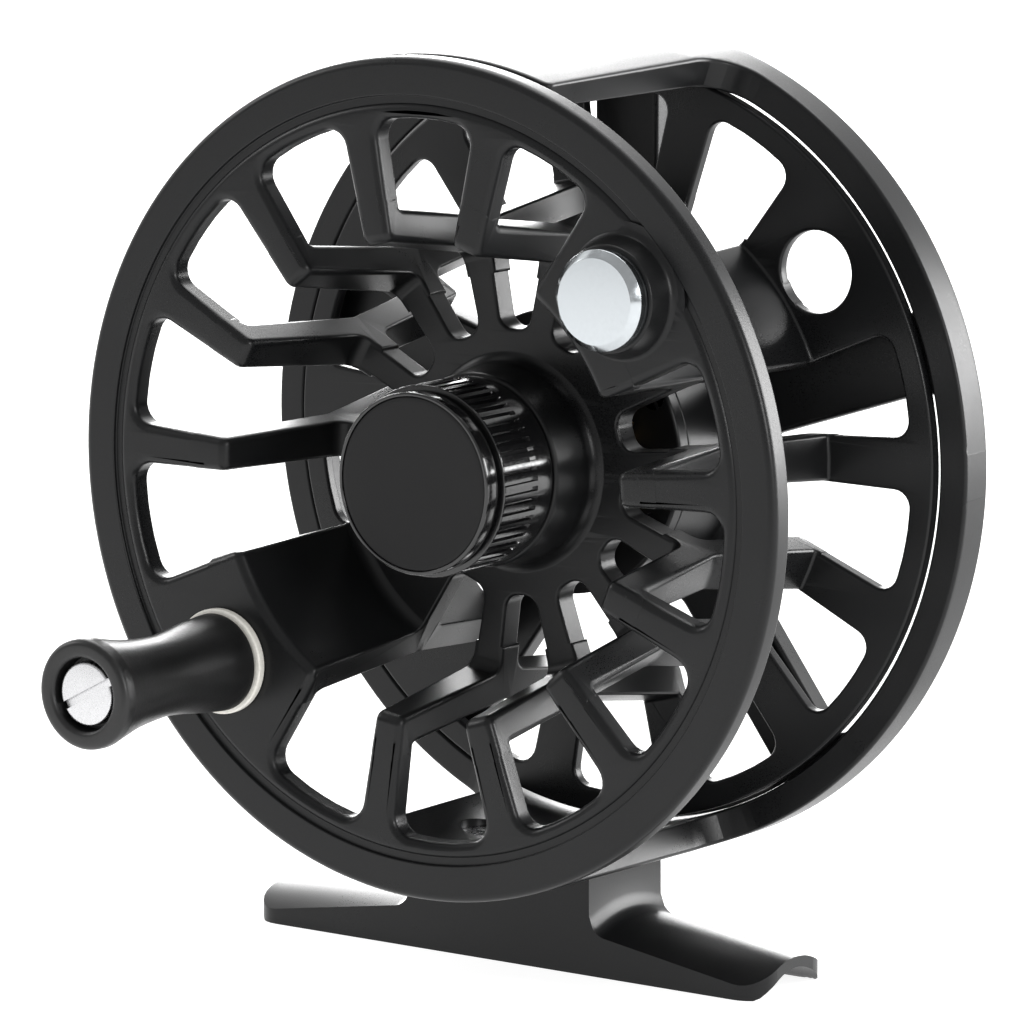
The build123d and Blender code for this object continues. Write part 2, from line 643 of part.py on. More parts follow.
# ---- drag knob on the back ----
def drag_knob():
    front, back = DRAG_KNOB_Y
    body = turned(
        (KNOB_SOCKET_R, front), (DRAG_KNOB_R - 1.2, front), (DRAG_KNOB_R, front + 1.0),
        (DRAG_KNOB_R, back - 1.0), (DRAG_KNOB_R - 1.0, back), (KNOB_CAP_R + 0.1, back),
        (KNOB_CAP_R + 0.1, KNOB_SCREW_SEAT_Y), (SPINDLE_R + 0.3, KNOB_SCREW_SEAT_Y),
        (SPINDLE_R + 0.3, KNOB_SOCKET_Y), (KNOB_SOCKET_R, KNOB_SOCKET_Y),
    )
    x, z = polar(DRAG_KNOB_R + 0.55, 0)
    flute = rod(1.1, front - 1, back + 1, (x, z))
    body -= ring_of(DRAG_KNOB_FLUTES, flute)
    return body - sleeve(DETENT_CIRCLE - 0.95, DETENT_CIRCLE + 0.95, front - 1, front + 0.5)


def knob_washer():
    """Washer with a lip that fits the knob's hole."""
    front = SPINDLE_Y[1] + FIT
    back = KNOB_SCREW_HEAD_Y[0] - FIT
    lip = sleeve(SPINDLE_R + 0.1, KNOB_CAP_R - 0.2, front - FIT, KNOB_SCREW_SEAT_Y + 0.1)
    return sleeve(SPINDLE_THREAD_R + 0.1, KNOB_CAP_R - 0.3, front, back) - lip


def knob_screw():
    front, back = KNOB_SCREW_HEAD_Y
    head = rod(KNOB_SCREW_HEAD_R, front, back) + rod(SPINDLE_THREAD_R - FIT, SPINDLE_Y[1] - 6.1, front + 0.1)
    return head - Pos(0, back, 0) * Box(0.7, 1.0, 6)


def knob_cap():
    front, back = KNOB_CAP_Y
    return turned(
        (0, front), (KNOB_CAP_R, front), (KNOB_CAP_R, back - 0.3), (KNOB_CAP_R - 0.4, back), (0, back)
    )


def detent_spring():
    x, z = polar(DETENT_CIRCLE, 90)
    return Pos(x, 0, z) * sleeve(0.35, 0.6, *DETENT_SPRING_Y)


def detent_ball():
    x, z = polar(DETENT_CIRCLE, 90)
    return Pos(x, BACK_PLATE_Y[1], z) * Sphere(DETENT_R)


NODES = {
    "frame_casting": frame_casting,
    "foot": foot,
    "foot_screws": foot_screws,
    "spindle": spindle,
    "front_bearing": lambda: bearing(BEARING_FRONT_Y[0]),
    "rear_bearing": lambda: bearing(BEARING_FRONT_Y[1]),
    "hub_screw": hub_screw,
    "drive_hub": drive_hub,
    "click_gear": click_gear,
    "one_way_clutch": one_way_clutch,
    "drag_rotor": drag_rotor,
    "drag_cover": drag_cover,
    "cover_screws": cover_screws,
    "hub_seal": hub_seal,
    "front_drag_washer": front_drag_washer,
    "rear_drag_washer": rear_drag_washer,
    "pressure_plate": pressure_plate,
    "disc_springs": disc_springs,
    "thrust_pins": thrust_pins,
    "thrust_washer": thrust_washer,
    "click_pawl": click_pawl,
    "pawl_pin": pawl_pin,
    "pawl_spring": pawl_spring,
    "drag_knob": drag_knob,
    "knob_washer": knob_washer,
    "knob_screw": knob_screw,
    "knob_cap": knob_cap,
    "detent_spring": detent_spring,
    "detent_ball": detent_ball,
    "spool": spool,
    "counterweight": counterweight,
    "release_knob": release_knob,
    "knob_face_disc": knob_face_disc,
    "knob_retaining_ring": knob_retaining_ring,
    "handle_grip": handle_grip,
    "handle_screw": handle_screw,
    "handle_washer": handle_washer,
}

os.makedirs("parts", exist_ok=True)
to_foot = Location((0, -FOOT_MIDDLE_Y, AXIS_HEIGHT))
for node_name, build_node in NODES.items():
    piece = build_node().moved(to_foot)
    export_step(piece, os.path.join("parts", node_name + ".step"))
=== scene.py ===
import math

import bmesh
import bpy
from bpy.props import FloatProperty, FloatVectorProperty, IntProperty, PointerProperty
from mathutils import Matrix, Vector, geometry


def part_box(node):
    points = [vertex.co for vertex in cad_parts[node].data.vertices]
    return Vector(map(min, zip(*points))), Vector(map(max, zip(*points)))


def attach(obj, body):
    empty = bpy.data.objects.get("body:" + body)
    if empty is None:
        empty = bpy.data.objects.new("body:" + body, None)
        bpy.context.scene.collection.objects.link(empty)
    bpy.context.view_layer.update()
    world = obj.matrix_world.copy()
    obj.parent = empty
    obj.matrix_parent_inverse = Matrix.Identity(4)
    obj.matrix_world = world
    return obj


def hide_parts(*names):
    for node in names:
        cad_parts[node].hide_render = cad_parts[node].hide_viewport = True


bl_info = {
    "name": "Fly reel",
    "version": (1, 0, 0),
    "blender": (4, 5, 0),
    "location": "View3D > Sidebar > Reel",
    "description": "Builds the finished surfaces of a fly reel around its working parts",
    "category": "Add Mesh",
}

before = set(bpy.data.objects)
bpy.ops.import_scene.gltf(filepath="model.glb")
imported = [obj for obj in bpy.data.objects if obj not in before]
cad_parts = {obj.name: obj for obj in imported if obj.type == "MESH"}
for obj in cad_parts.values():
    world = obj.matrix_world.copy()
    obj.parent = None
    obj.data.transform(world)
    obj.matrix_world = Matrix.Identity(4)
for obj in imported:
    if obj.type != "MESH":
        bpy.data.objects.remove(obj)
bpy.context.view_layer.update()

# Radii are taken from the spool's axis, and depths backwards from the spool's front face.
MM = 0.001
CASTING_LOW, CASTING_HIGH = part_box("frame_casting")
AXIS_Z = (CASTING_LOW.z + CASTING_HIGH.z) / 2
RING_RADIUS = (CASTING_HIGH.x - CASTING_LOW.x) / 2
SPOOL_LOW, SPOOL_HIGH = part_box("spool")
RIM_RADIUS = (SPOOL_HIGH.x - SPOOL_LOW.x) / 2
SPOOL_BACK = 0.0349         # depth of the rear flange's back face
FRONT_Y = SPOOL_HIGH.y - SPOOL_BACK
BARS_FRONT = CASTING_LOW.y - FRONT_Y
FOOT_LOW, FOOT_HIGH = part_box("foot")
WEIGHT_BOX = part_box("counterweight")
HANDLE_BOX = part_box("handle_grip")
DRAG_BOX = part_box("drag_knob")


# ---- settings ----
def length(name, description, default):
    """A size in metres."""
    return FloatProperty(
        name=name, description=description, default=default, min=0.0, unit="LENGTH", precision=5
    )


def turn(name, description, degrees):
    return FloatProperty(name=name, description=description, default=math.radians(degrees), subtype="ANGLE")


def colour(name, description, default):
    return FloatVectorProperty(
        name=name, description=description, default=default, min=0.0, max=1.0, size=3, subtype="COLOR"
    )


class ReelSpoolSizes(bpy.types.PropertyGroup):
    rim_radius: length("Rim radius", "Outer radius of the front rim", RIM_RADIUS)
    rim_depth: length("Rim depth", "Depth of the front rim", 0.0027)
    groove_radius: length("Groove radius", "Inner radius of the groove in the front face", 0.038)
    groove_width: length("Groove width", "Width of the groove in the front face", 0.0007)
    flange: length("Flange thickness", "Thickness of the front flange", 0.0025)
    arbor_inner: length("Arbor inner radius", "Inside of the arms at the flanges", 0.0242)
    arbor_outer: length("Arbor outer radius", "Outside of the arms at the flanges", 0.0273)
    waist_inner: length("Waist inner radius", "Inside of the arms at the web", 0.0219)
    waist_outer: length("Waist outer radius", "Outside of the arms at the web", 0.0250)
    web_front: length("Web front", "Depth of the web's front face", 0.0164)
    web_back: length("Web back", "Depth of the web's back face", 0.0194)
    rear_radius: length("Rear flange radius", "Outer radius of the rear flange", 0.0396)
    rear_thickness: length("Rear flange thickness", "Thickness of the rear flange", 0.0015)
    window_outer: length("Window radius", "Outer ends of the front windows", 0.0364)
    rear_window_outer: length("Rear window radius", "Outer ends of the rear windows", 0.0370)
    rear_turn: turn("Rear turn", "Turn of the rear flange against the front one", -2.4)
    slot_inner: length("Slot radius", "Inner ends of the slots in the web", 0.0138)
    weight_direction: turn("Weight direction", "Direction of the counterweight seen from the front", 40.0)
    hole_radius: length("Lock hole radius", "Round hole in the rear flange", 0.0042)
    edge: length("Edge rounding", "Rounding of the cast edges", 0.00035)
    window_edge: length("Window edge", "Rounding of the front flange round its windows", 0.0008)


class ReelFrameSizes(bpy.types.PropertyGroup):
    ring_radius: length("Ring radius", "Outside of the ring and the crossbars", RING_RADIUS)
    wall: length("Wall", "Thickness of the ring and the crossbars", 0.0032)
    ring_front: length("Ring front", "Depth of the ring's front edge", 0.034)
    ring_back: length("Ring back", "Depth of the ring's back edge", 0.0382)
    bars_front: length("Crossbar front", "Depth of the crossbars' front ends", BARS_FRONT)
    draft: length("Crossbar draft", "How much the crossbars' radius shrinks towards their fronts", 0.0006)
    draft_end: length("Draft end", "Depth where the crossbars reach the ring's radius", 0.026)
    bar_half: turn("Crossbar half width", "Half the angle that a crossbar spans", 19.0)
    flare: length("Flare", "Radius where a crossbar runs into the ring", 0.005)
    plate_front: length("Plate front", "Depth of the back plate's front face", 0.0366)
    plate_back: length("Plate back", "Depth of the back plate's back face", 0.0394)
    spoke_width: length("Back spoke width", "Width of the back plate's spokes", 0.0078)
    hub_radius: length("Hub radius", "Middle of the back plate", 0.017)
    window_outer: length("Back window radius", "Outer ends of the back plate's windows", 0.0394)
    housing_bore: length("Housing bore", "Inside radius of the drag housing", 0.0118)
    housing_radius: length("Housing radius", "Outside radius of the drag housing and its cover", 0.0148)
    housing_front: length("Housing front", "Depth where the housing ends and its cover starts", 0.0266)
    housing_floor: length("Housing floor", "Depth of the housing's floor", 0.0344)
    cover_front: length("Cover front", "Depth of the drag cover's front face", 0.025)
    cover_bore: length("Cover bore", "Radius of the hole in the drag cover", 0.0076)
    boss_radius: length("Boss radius", "Radius of the boss under the drag knob", 0.0075)
    boss_back: length("Boss back", "Depth of the boss's back face", 0.0422)


class ReelFootSizes(bpy.types.PropertyGroup):
    half_length: length("Half length", "From the foot's middle to its tip", (FOOT_HIGH.x - FOOT_LOW.x) / 2)
    width: length("Width", "Width of the foot", FOOT_HIGH.y - FOOT_LOW.y)
    channel_half: length("Channel half width", "Half the width of the channel under the foot", 0.0056)
    channel_rise: length("Channel rise", "Height of the channel under the foot", 0.0025)
    tip_edge: length("Tip edge", "Height of the edges at the tips", 0.0011)
    tip_crown: length("Tip crown", "Height of the crown at the tips", 0.0036)
    root_edge: length("Root edge", "Height of the edges beside the pedestal", 0.0044)
    root_crown: length("Root crown", "Height of the crown beside the pedestal", 0.0056)
    pedestal_half: length("Pedestal half length", "Half the length of the pedestal", 0.0113)
    tip_round: length("Tip rounding", "Rounding of the foot's corners seen from above", 0.0032)


class ReelKnobSizes(bpy.types.PropertyGroup):
    face_radius: length("Face radius", "Radius of the release knob's face", 0.0092)
    body_radius: length("Body radius", "Radius of the release knob's body", 0.0097)
    ridges: IntProperty(name="Ridges", description="Ridges round the release knob", default=60, min=8)
    ridge_depth: length("Ridge depth", "Depth of the knurling", 0.00034)
    drag_radius: length("Drag knob radius", "Radius of the drag knob", (DRAG_BOX[1].z - DRAG_BOX[0].z) / 2)
    flutes: IntProperty(name="Flutes", description="Flutes round the drag knob", default=18, min=4)
    flute_depth: length("Flute depth", "Depth of the drag knob's flutes", 0.0006)
    knurl_front: length("Knurling front", "Depth where the ridges start", 0.0016)
    knurl_back: length("Knurling back", "Depth where the ridges end", 0.0072)
    skirt_back: length("Skirt back", "Depth of the release knob's back face", 0.010)
    socket_radius: length("Socket radius", "Hole in the drag knob's front that takes the boss", 0.00765)
    socket_depth: length("Socket depth", "Depth of the floor of the drag knob's front hole", 0.0434)
    cap_radius: length("Cap radius", "Radius of the drag knob's cap", 0.0055)
    cap_front: length("Cap front", "Depth of the cap's front face", 0.0481)


class ReelColours(bpy.types.PropertyGroup):
    cast_black: colour("Cast black", "Satin paint on the castings", (0.0055, 0.0057, 0.0061))
    gloss_black: colour("Gloss black", "Knurled knobs", (0.004, 0.004, 0.0043))
    disc_black: colour("Disc black", "Face of the release knob", (0.0085, 0.0085, 0.0088))
    grip_black: colour("Grip black", "Moulded handle", (0.005, 0.005, 0.0052))
    chrome: colour("Chrome", "Counterweight", (0.53, 0.56, 0.58))
    steel: colour("Steel", "Screws and spindle", (0.60, 0.60, 0.61))
    brass: colour("Brass", "Click gear and pawl", (0.66, 0.49, 0.22))
    aluminium: colour("Aluminium", "Drive hub and cover", (0.62, 0.63, 0.64))
    nylon: colour("Nylon", "Washers", (0.78, 0.76, 0.70))
    rubber: colour("Rubber", "Seal", (0.02, 0.02, 0.02))
    carbon: colour("Carbon", "Friction washers", (0.03, 0.03, 0.033))
    floor: colour("Floor", "Floor and backdrop", (0.38, 0.38, 0.38))


class ReelStageSizes(bpy.types.PropertyGroup):
    azimuth: turn("Azimuth", "Camera's direction round the reel", 35.4)
    elevation: turn("Elevation", "Camera's angle above the reel", 9.48)
    distance: length("Distance", "From the camera to the spool's front face", 0.637)
    lens: FloatProperty(
        name="Lens", description="Focal length in millimetres on a 36 mm sensor", default=225.0
    )
    aim_right: FloatProperty(
        name="Aim right", description="Sideways aim past the axis", default=0.0095, unit="LENGTH"
    )
    aim_up: FloatProperty(
        name="Aim up", description="Upward aim past the axis", default=-0.00285, unit="LENGTH"
    )


# ---- outlines ----
def polar(radius, degrees):
    angle = math.radians(degrees)
    return (radius * math.cos(angle), radius * math.sin(angle))


def beside(radius, degrees, side):
    """Point at a distance along a direction and a distance to its side."""
    angle = math.radians(degrees)
    return (
        radius * math.cos(angle) - side * math.sin(angle),
        radius * math.sin(angle) + side * math.cos(angle),
    )


def circle(radius, steps=180, centre=(0.0, 0.0)):
    points = []
    for number in range(steps):
        x, z = polar(radius, 360.0 * number / steps)
        points.append((centre[0] + x, centre[1] + z))
    return points


def arc(radius, start, end, steps):
    return [polar(radius, start + (end - start) * number / steps) for number in range(steps + 1)]


def rounded(corners, steps=5):
    """A closed outline from (a, b, radius) corners, with each corner turned into an arc."""
    outline = []
    count = len(corners)
    for number, (a, b, radius) in enumerate(corners):
        here = Vector((a, b))
        before = Vector(corners[number - 1][:2]) - here
        after = Vector(corners[(number + 1) % count][:2]) - here
        if radius <= 0 or before.length < 1e-9 or after.length < 1e-9:
            outline.append((a, b))
            continue
        angle = before.angle(after)
        if angle > math.radians(176):
            outline.append((a, b))
            continue
        reach = min(radius / math.tan(angle / 2), before.length * 0.49, after.length * 0.49)
        true_radius = reach * math.tan(angle / 2)
        start = here + before.normalized() * reach
        end = here + after.normalized() * reach
        centre = here + (before.normalized() + after.normalized()).normalized() * (
            true_radius / math.sin(angle / 2)
        )
        first = start - centre
        sweep = first.angle_signed(end - centre)
        for step in range(steps + 1):
            turned = first.copy()
            turned.rotate(Matrix.Rotation(-sweep * step / steps, 2))
            outline.append(tuple(centre + turned))
    return outline


def smooth_line(points, steps=10):
    """A smooth run of points through the given ones."""
    line = []
    for number in range(len(points) - 1):
        p0 = Vector(points[max(number - 1, 0)])
        p1 = Vector(points[number])
        p2 = Vector(points[number + 1])
        p3 = Vector(points[min(number + 2, len(points) - 1)])
        for step in range(steps):
            t = step / steps
            line.append(tuple(0.5 * (
                2 * p1 + (p2 - p0) * t + (2 * p0 - 5 * p1 + 4 * p2 - p3) * t * t
                + (3 * p1 - p0 - 3 * p2 + p3) * t * t * t
            )))
    line.append(tuple(points[-1]))
    return line


# ---- solids ----
def in_place(x, depth, z):
    """A point given in millimetres from the middle of the spool's front face."""
    return Vector((x * MM, FRONT_Y + depth * MM, AXIS_Z + z * MM))


def placed(box):
    """The middle of a box as (x, z), and the depths of its front and back, in millimetres."""
    low, high = box
    middle = ((low.x + high.x) / 2 / MM, ((low.z + high.z) / 2 - AXIS_Z) / MM)
    return middle, (low.y - FRONT_Y) / MM, (high.y - FRONT_Y) / MM


def object_from(bm, name):
    bmesh.ops.remove_doubles(bm, verts=bm.verts, dist=1e-7)
    bmesh.ops.recalc_face_normals(bm, faces=bm.faces)
    mesh = bpy.data.meshes.new(name)
    bm.to_mesh(mesh)
    bm.free()
    piece = bpy.data.objects.new(name, mesh)
    bpy.context.scene.collection.objects.link(piece)
    return piece


def lathe(name, outline, centre=(0.0, 0.0), steps=180, wave=None):
    """A turned piece from a closed outline of (radius, depth), about an axis along Y."""
    bm = bmesh.new()
    rings = []
    for radius, depth in outline:
        if radius < 1e-6:
            rings.append([bm.verts.new(in_place(centre[0], depth, centre[1]))])
            continue
        ring = []
        for number in range(steps):
            angle = 2 * math.pi * number / steps
            here = wave(radius, depth, angle) if wave else radius
            ring.append(bm.verts.new(in_place(
                centre[0] + here * math.cos(angle), depth, centre[1] + here * math.sin(angle)
            )))
        rings.append(ring)
    for number, ring in enumerate(rings):
        following = rings[(number + 1) % len(rings)]
        if len(ring) == 1 and len(following) == 1:
            continue
        for step in range(steps):
            onward = (step + 1) % steps
            corners = [ring[step % len(ring)], ring[onward % len(ring)]]
            corners += [following[onward % len(following)], following[step % len(following)]]
            unique = list(dict.fromkeys(corners))
            if len(unique) > 2:
                bm.faces.new(unique)
    return object_from(bm, name)


def signed_area(loop):
    total = 0.0
    for number, (a, b) in enumerate(loop):
        c, d = loop[(number + 1) % len(loop)]
        total += a * d - b * c
    return total / 2


def moved_inwards(loop, distance):
    """The outline moved to its left, which is into the material."""
    result = []
    count = len(loop)
    for number in range(count):
        here = Vector(loop[number])
        first = (here - Vector(loop[number - 1])).normalized()
        second = (Vector(loop[(number + 1) % count]) - here).normalized()
        left = Vector((-first.y, first.x)) + Vector((-second.y, second.x))
        scale = 1 + first.dot(second)
        result.append(tuple(here + left * (distance / max(scale, 0.3))))
    return result


def plate_mesh(loops, front, back, edge, far_loops=None, edge_steps=4):
    """A flat solid with rounded edges, as (u, thickness, v). The first outline is the outer one.

    edge is the rounding of both faces, or a pair for the front and the back.
    """
    front_edge, back_edge = edge if isinstance(edge, tuple) else (edge, edge)

    def facing(group):
        turned = []
        for number, loop in enumerate(group):
            wanted = 1 if number == 0 else -1
            turned.append(list(loop) if signed_area(loop) * wanted > 0 else list(reversed(loop)))
        return turned

    near = facing(loops)
    far = facing(far_loops) if far_loops else near
    bm = bmesh.new()
    levels = []
    for step in range(edge_steps + 1):
        angle = math.pi / 2 * step / edge_steps
        levels.append((front_edge * (1 - math.sin(angle)), front + front_edge * (1 - math.cos(angle))))
    for step in range(edge_steps, -1, -1):
        angle = math.pi / 2 * step / edge_steps
        levels.append((back_edge * (1 - math.sin(angle)), back - back_edge * (1 - math.cos(angle))))
    rings = []
    for inset, depth in levels:
        share = (depth - front) / (back - front)
        ring = []
        for near_loop, far_loop in zip(near, far):
            blend = [
                (a[0] + (b[0] - a[0]) * share, a[1] + (b[1] - a[1]) * share)
                for a, b in zip(near_loop, far_loop)
            ]
            ring.append([bm.verts.new((u, depth, v)) for u, v in moved_inwards(blend, inset)])
        rings.append(ring)
    for number in range(len(rings) - 1):
        for loop, onward in zip(rings[number], rings[number + 1]):
            for step in range(len(loop)):
                after = (step + 1) % len(loop)
                bm.faces.new((loop[step], loop[after], onward[after], onward[step]))
    for ring in (rings[0], rings[-1]):
        flat = [vert for loop in ring for vert in loop]
        outlines = [[Vector((vert.co.x, vert.co.z, 0)) for vert in loop] for loop in ring]
        for triangle in geometry.tessellate_polygon(outlines):
            bm.faces.new([flat[index] for index in triangle])
    return bm


def plate(name, loops, front, back, edge=0.3, far_loops=None):
    bm = plate_mesh(loops, front, back, edge, far_loops)
    for vert in bm.verts:
        vert.co = in_place(vert.co.x, vert.co.y, vert.co.z)
    return object_from(bm, name)


def drill(radius, front, back, centre=(0.0, 0.0), steps=48):
    """A plain round tool for cutting a hole."""
    return lathe("tool", ((0, front), (radius, front), (radius, back), (0, back)), centre, steps)


def check_closed(piece):
    bm = bmesh.new()
    bm.from_mesh(piece.data)
    loose = sum(len(edge.link_faces) != 2 for edge in bm.edges)
    bm.free()
    if loose:
        raise RuntimeError("%s has %d open edges" % (piece.name, loose))


def combined(base, others, operation):
    """Joins solids to the base, or cuts them out of it, and removes them."""
    check_closed(base)
    for other in others:
        check_closed(other)
        step = base.modifiers.new("combine", "BOOLEAN")
        step.operation = operation
        step.solver = "MANIFOLD"
        step.object = other
        bpy.context.view_layer.update()
        result = bpy.data.meshes.new_from_object(base.evaluated_get(bpy.context.evaluated_depsgraph_get()))
        base.modifiers.clear()
        base.data = result
        bpy.data.objects.remove(other)
    if not base.data.polygons:
        raise RuntimeError(base.name + " came out empty")
    return base


def joined(base, *others):
    return combined(base, others, "UNION")


def cut(base, *tools):
    return combined(base, tools, "DIFFERENCE")


def finished(piece, name, body, node, slot, sharp=38.0):
    """Names a piece, shades it, paints it and ties it to its working part."""
    piece.name = name
    bm = bmesh.new()
    bm.from_mesh(piece.data)
    bmesh.ops.dissolve_degenerate(bm, edges=bm.edges, dist=2e-6)
    for face in bm.faces:
        face.smooth = True
    for edge in bm.edges:
        edge.smooth = len(edge.link_faces) == 2 and edge.calc_face_angle(0) < math.radians(sharp)
    bm.to_mesh(piece.data)
    bm.free()
    weighted = piece.modifiers.new("flat faces", "WEIGHTED_NORMAL")
    weighted.keep_sharp = True
    piece.data.materials.clear()
    piece.data.materials.append(finish_for(SLOT_FINISHES[slot]))
    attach(piece, body)
    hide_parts(node)
    return piece


# ---- finishes ----
def noise_texture(tree, scale, detail, source):
    texture = tree.nodes.new("ShaderNodeTexNoise")
    texture.inputs["Scale"].default_value = scale
    texture.inputs["Detail"].default_value = detail
    tree.links.new(source, texture.inputs["Vector"])
    return texture.outputs["Fac"]


def spread(tree, value, low, high, start=0.35, end=0.65):
    """Maps a texture's middle values to a range."""
    ranged = tree.nodes.new("ShaderNodeMapRange")
    ranged.inputs["From Min"].default_value = start
    ranged.inputs["From Max"].default_value = end
    ranged.inputs["To Min"].default_value = low
    ranged.inputs["To Max"].default_value = high
    tree.links.new(value, ranged.inputs["Value"])
    return ranged.outputs["Result"]


def surface(name, base, rough, grain_mm, relief_mm, vary, metal=0.0, shine=0.5, stretch=(1, 1, 1)):
    """A finish with a fine grain, slow patches in its gloss and a slight change of tone."""
    material = bpy.data.materials.new(name)
    material.use_nodes = True
    tree = material.node_tree
    shader = tree.nodes["Principled BSDF"]
    shader.inputs["Metallic"].default_value = metal
    shader.inputs["Specular IOR Level"].default_value = shine
    place = tree.nodes.new("ShaderNodeTexCoord").outputs["Object"]
    mapping = tree.nodes.new("ShaderNodeMapping")
    mapping.inputs["Scale"].default_value = stretch
    tree.links.new(place, mapping.inputs["Vector"])
    grain = noise_texture(tree, 1 / (grain_mm * MM), 3.0, mapping.outputs["Vector"])
    patches = noise_texture(tree, 1 / (14 * MM), 2.0, place)
    tone = tree.nodes.new("ShaderNodeMix")
    tone.data_type = "RGBA"
    tone.inputs["A"].default_value = tuple(channel * (1 - vary) for channel in base) + (1.0,)
    lighter = tuple(min(channel * (1 + vary * 2.2), 1.0) for channel in base)
    tone.inputs["B"].default_value = lighter + (1.0,)
    tree.links.new(spread(tree, grain, 0.0, 1.0, 0.3, 0.75), tone.inputs["Factor"])
    tree.links.new(tone.outputs["Result"], shader.inputs["Base Color"])
    rough_sum = tree.nodes.new("ShaderNodeMath")
    rough_sum.operation = "ADD"
    tree.links.new(spread(tree, patches, rough[0], rough[1]), rough_sum.inputs[0])
    tree.links.new(spread(tree, grain, -0.03, 0.05), rough_sum.inputs[1])
    tree.links.new(rough_sum.outputs["Value"], shader.inputs["Roughness"])
    bump = tree.nodes.new("ShaderNodeBump")
    bump.inputs["Strength"].default_value = 1.0
    bump.inputs["Distance"].default_value = relief_mm * MM
    tree.links.new(grain, bump.inputs["Height"])
    tree.links.new(bump.outputs["Normal"], shader.inputs["Normal"])
    return material


# name: (colour, roughness range, grain in mm, relief in mm, change of tone, other settings)
RECIPES = {
    "cast_black": ("cast_black", (0.30, 0.38), 0.16, 0.005, 0.16, {"shine": 0.28}),
    "spool_black": ("cast_black", (0.28, 0.36), 0.15, 0.005, 0.16, {"shine": 0.28}),
    "gloss_black": ("gloss_black", (0.10, 0.16), 0.3, 0.001, 0.08, {"shine": 0.7}),
    "disc_black": ("disc_black", (0.42, 0.48), 0.12, 0.004, 0.15, {"shine": 0.2}),
    "grip_black": ("grip_black", (0.34, 0.42), 0.28, 0.014, 0.15, {}),
    "chrome": ("chrome", (0.12, 0.18), 0.5, 0.0003, 0.02, {"metal": 1.0}),
    "steel": ("steel", (0.22, 0.32), 0.2, 0.001, 0.06, {"metal": 1.0, "stretch": (1, 0.1, 1)}),
    "brass": ("brass", (0.25, 0.35), 0.2, 0.001, 0.08, {"metal": 1.0}),
    "aluminium": ("aluminium", (0.28, 0.38), 0.15, 0.001, 0.06, {"metal": 1.0}),
    "nylon": ("nylon", (0.40, 0.50), 0.3, 0.003, 0.05, {}),
    "rubber": ("rubber", (0.60, 0.70), 0.2, 0.006, 0.15, {}),
    "carbon": ("carbon", (0.45, 0.55), 0.5, 0.01, 0.3, {}),
}
SLOT_FINISHES = {
    "spool_black": "spool_black", "frame_black": "cast_black", "foot_black": "cast_black",
    "knob_black": "gloss_black", "disc_black": "disc_black", "grip_black": "grip_black",
    "chrome_bright": "chrome", "steel": "steel", "white_nylon": "nylon",
}
FINISHES = {}


def finish_for(name):
    """The named finish, made the first time it is wanted."""
    if name not in FINISHES:
        tint, rough, grain_mm, relief_mm, vary, others = RECIPES[name]
        base = getattr(bpy.context.scene.reel_colours, tint)
        FINISHES[name] = surface(name, base, rough, grain_mm, relief_mm, vary, **others)
    return FINISHES[name]


# ---- spool ----
SPOKES = (36.2, 61.8, 87.4, 113.0, 138.6)
NARROW_FRONT = (1.35, 2.1)
NARROW_REAR = (1.9, 2.75)
WEIGHT_SPOKE = (3.6, 9.6)
HANDLE_SPOKE = (4.5, 11.3)
HUB_OUTLINE = (
    (5.9, 10.2, 0.2), (9.9, 10.2, 0.5), (10.4, 16.46, 2.3), (13.3, 16.46, 0.0),
    (13.3, 19.2, 0.0), (9.0, 19.2, 0.0), (9.0, 21.5, 0.3), (5.9, 21.5, 0.2),
)


class SpoolLines:
    """The spokes' directions and widths, and the outlines that follow them."""

    def __init__(self, narrow, outer, turned=0.0):
        sizes = bpy.context.scene.reel_spool
        start = math.degrees(sizes.weight_direction + turned)
        self.inner = sizes.slot_inner / MM
        self.outer = outer / MM
        self.spokes = [(start, WEIGHT_SPOKE)]
        self.spokes += [(start + angle, narrow) for angle in SPOKES]
        self.spokes += [(start + 180, HANDLE_SPOKE)]
        self.spokes += [(start + 360 - angle, narrow) for angle in reversed(SPOKES)]

    def flank(self, spoke, radius, sign):
        """Point on a spoke's side at a distance from the axis, as (direction, x, z)."""
        direction, half = spoke
        share = (radius - self.inner) / (self.outer - self.inner)
        side = half[0] + (half[1] - half[0]) * share
        along = math.sqrt(max(radius * radius - side * side, 0.0))
        x, z = beside(along, direction, sign * side)
        return direction + sign * math.degrees(math.atan2(side, along)), x, z

    def across(self, spoke, radius, steps):
        """Points on an arc across a spoke."""
        first = self.flank(spoke, radius, -1)[0]
        last = self.flank(spoke, radius, 1)[0]
        return arc(radius, first, last, steps)

    def gaps(self):
        return [(self.spokes[number], self.spokes[(number + 1) % 12]) for number in range(12)]

    def flange_opening(self, inner_end):
        """The inner outline of a flange: round every window and over every spoke's inner end."""
        corners = []
        for before, after in self.gaps():
            wide = before[1][0] > 3
            end = self.across(before, inner_end, 10 if wide else 2)
            corners.append((*end[0], 0.45))
            corners += [(*point, 0.0) for point in end[1:-1]]
            corners.append((*end[-1], 0.45))
            start = self.flank(before, self.outer, 1)
            stop = self.flank(after, self.outer, -1)
            turn_by = (stop[0] - start[0]) % 360
            corners.append((start[1], start[2], 2.5))
            for share in (0.36, 0.5, 0.64):
                corners.append((*polar(self.outer, start[0] + turn_by * share), 0.0))
            corners.append((stop[1], stop[2], 2.5))
        return rounded(corners, 6)

    def web(self, arm_end):
        """The outline of the web: a hub with one arm for each spoke."""
        corners = []
        for before, after in self.gaps():
            wide = before[1][0] > 3
            end = self.across(before, arm_end, 10 if wide else 2)
            corners += [(*point, 0.0) for point in end]
            for spoke, sign in ((before, 1), (after, -1)):
                at = self.flank(spoke, self.inner, sign)
                corners.append((at[1], at[2], 1.7))
        return rounded(corners, 6)


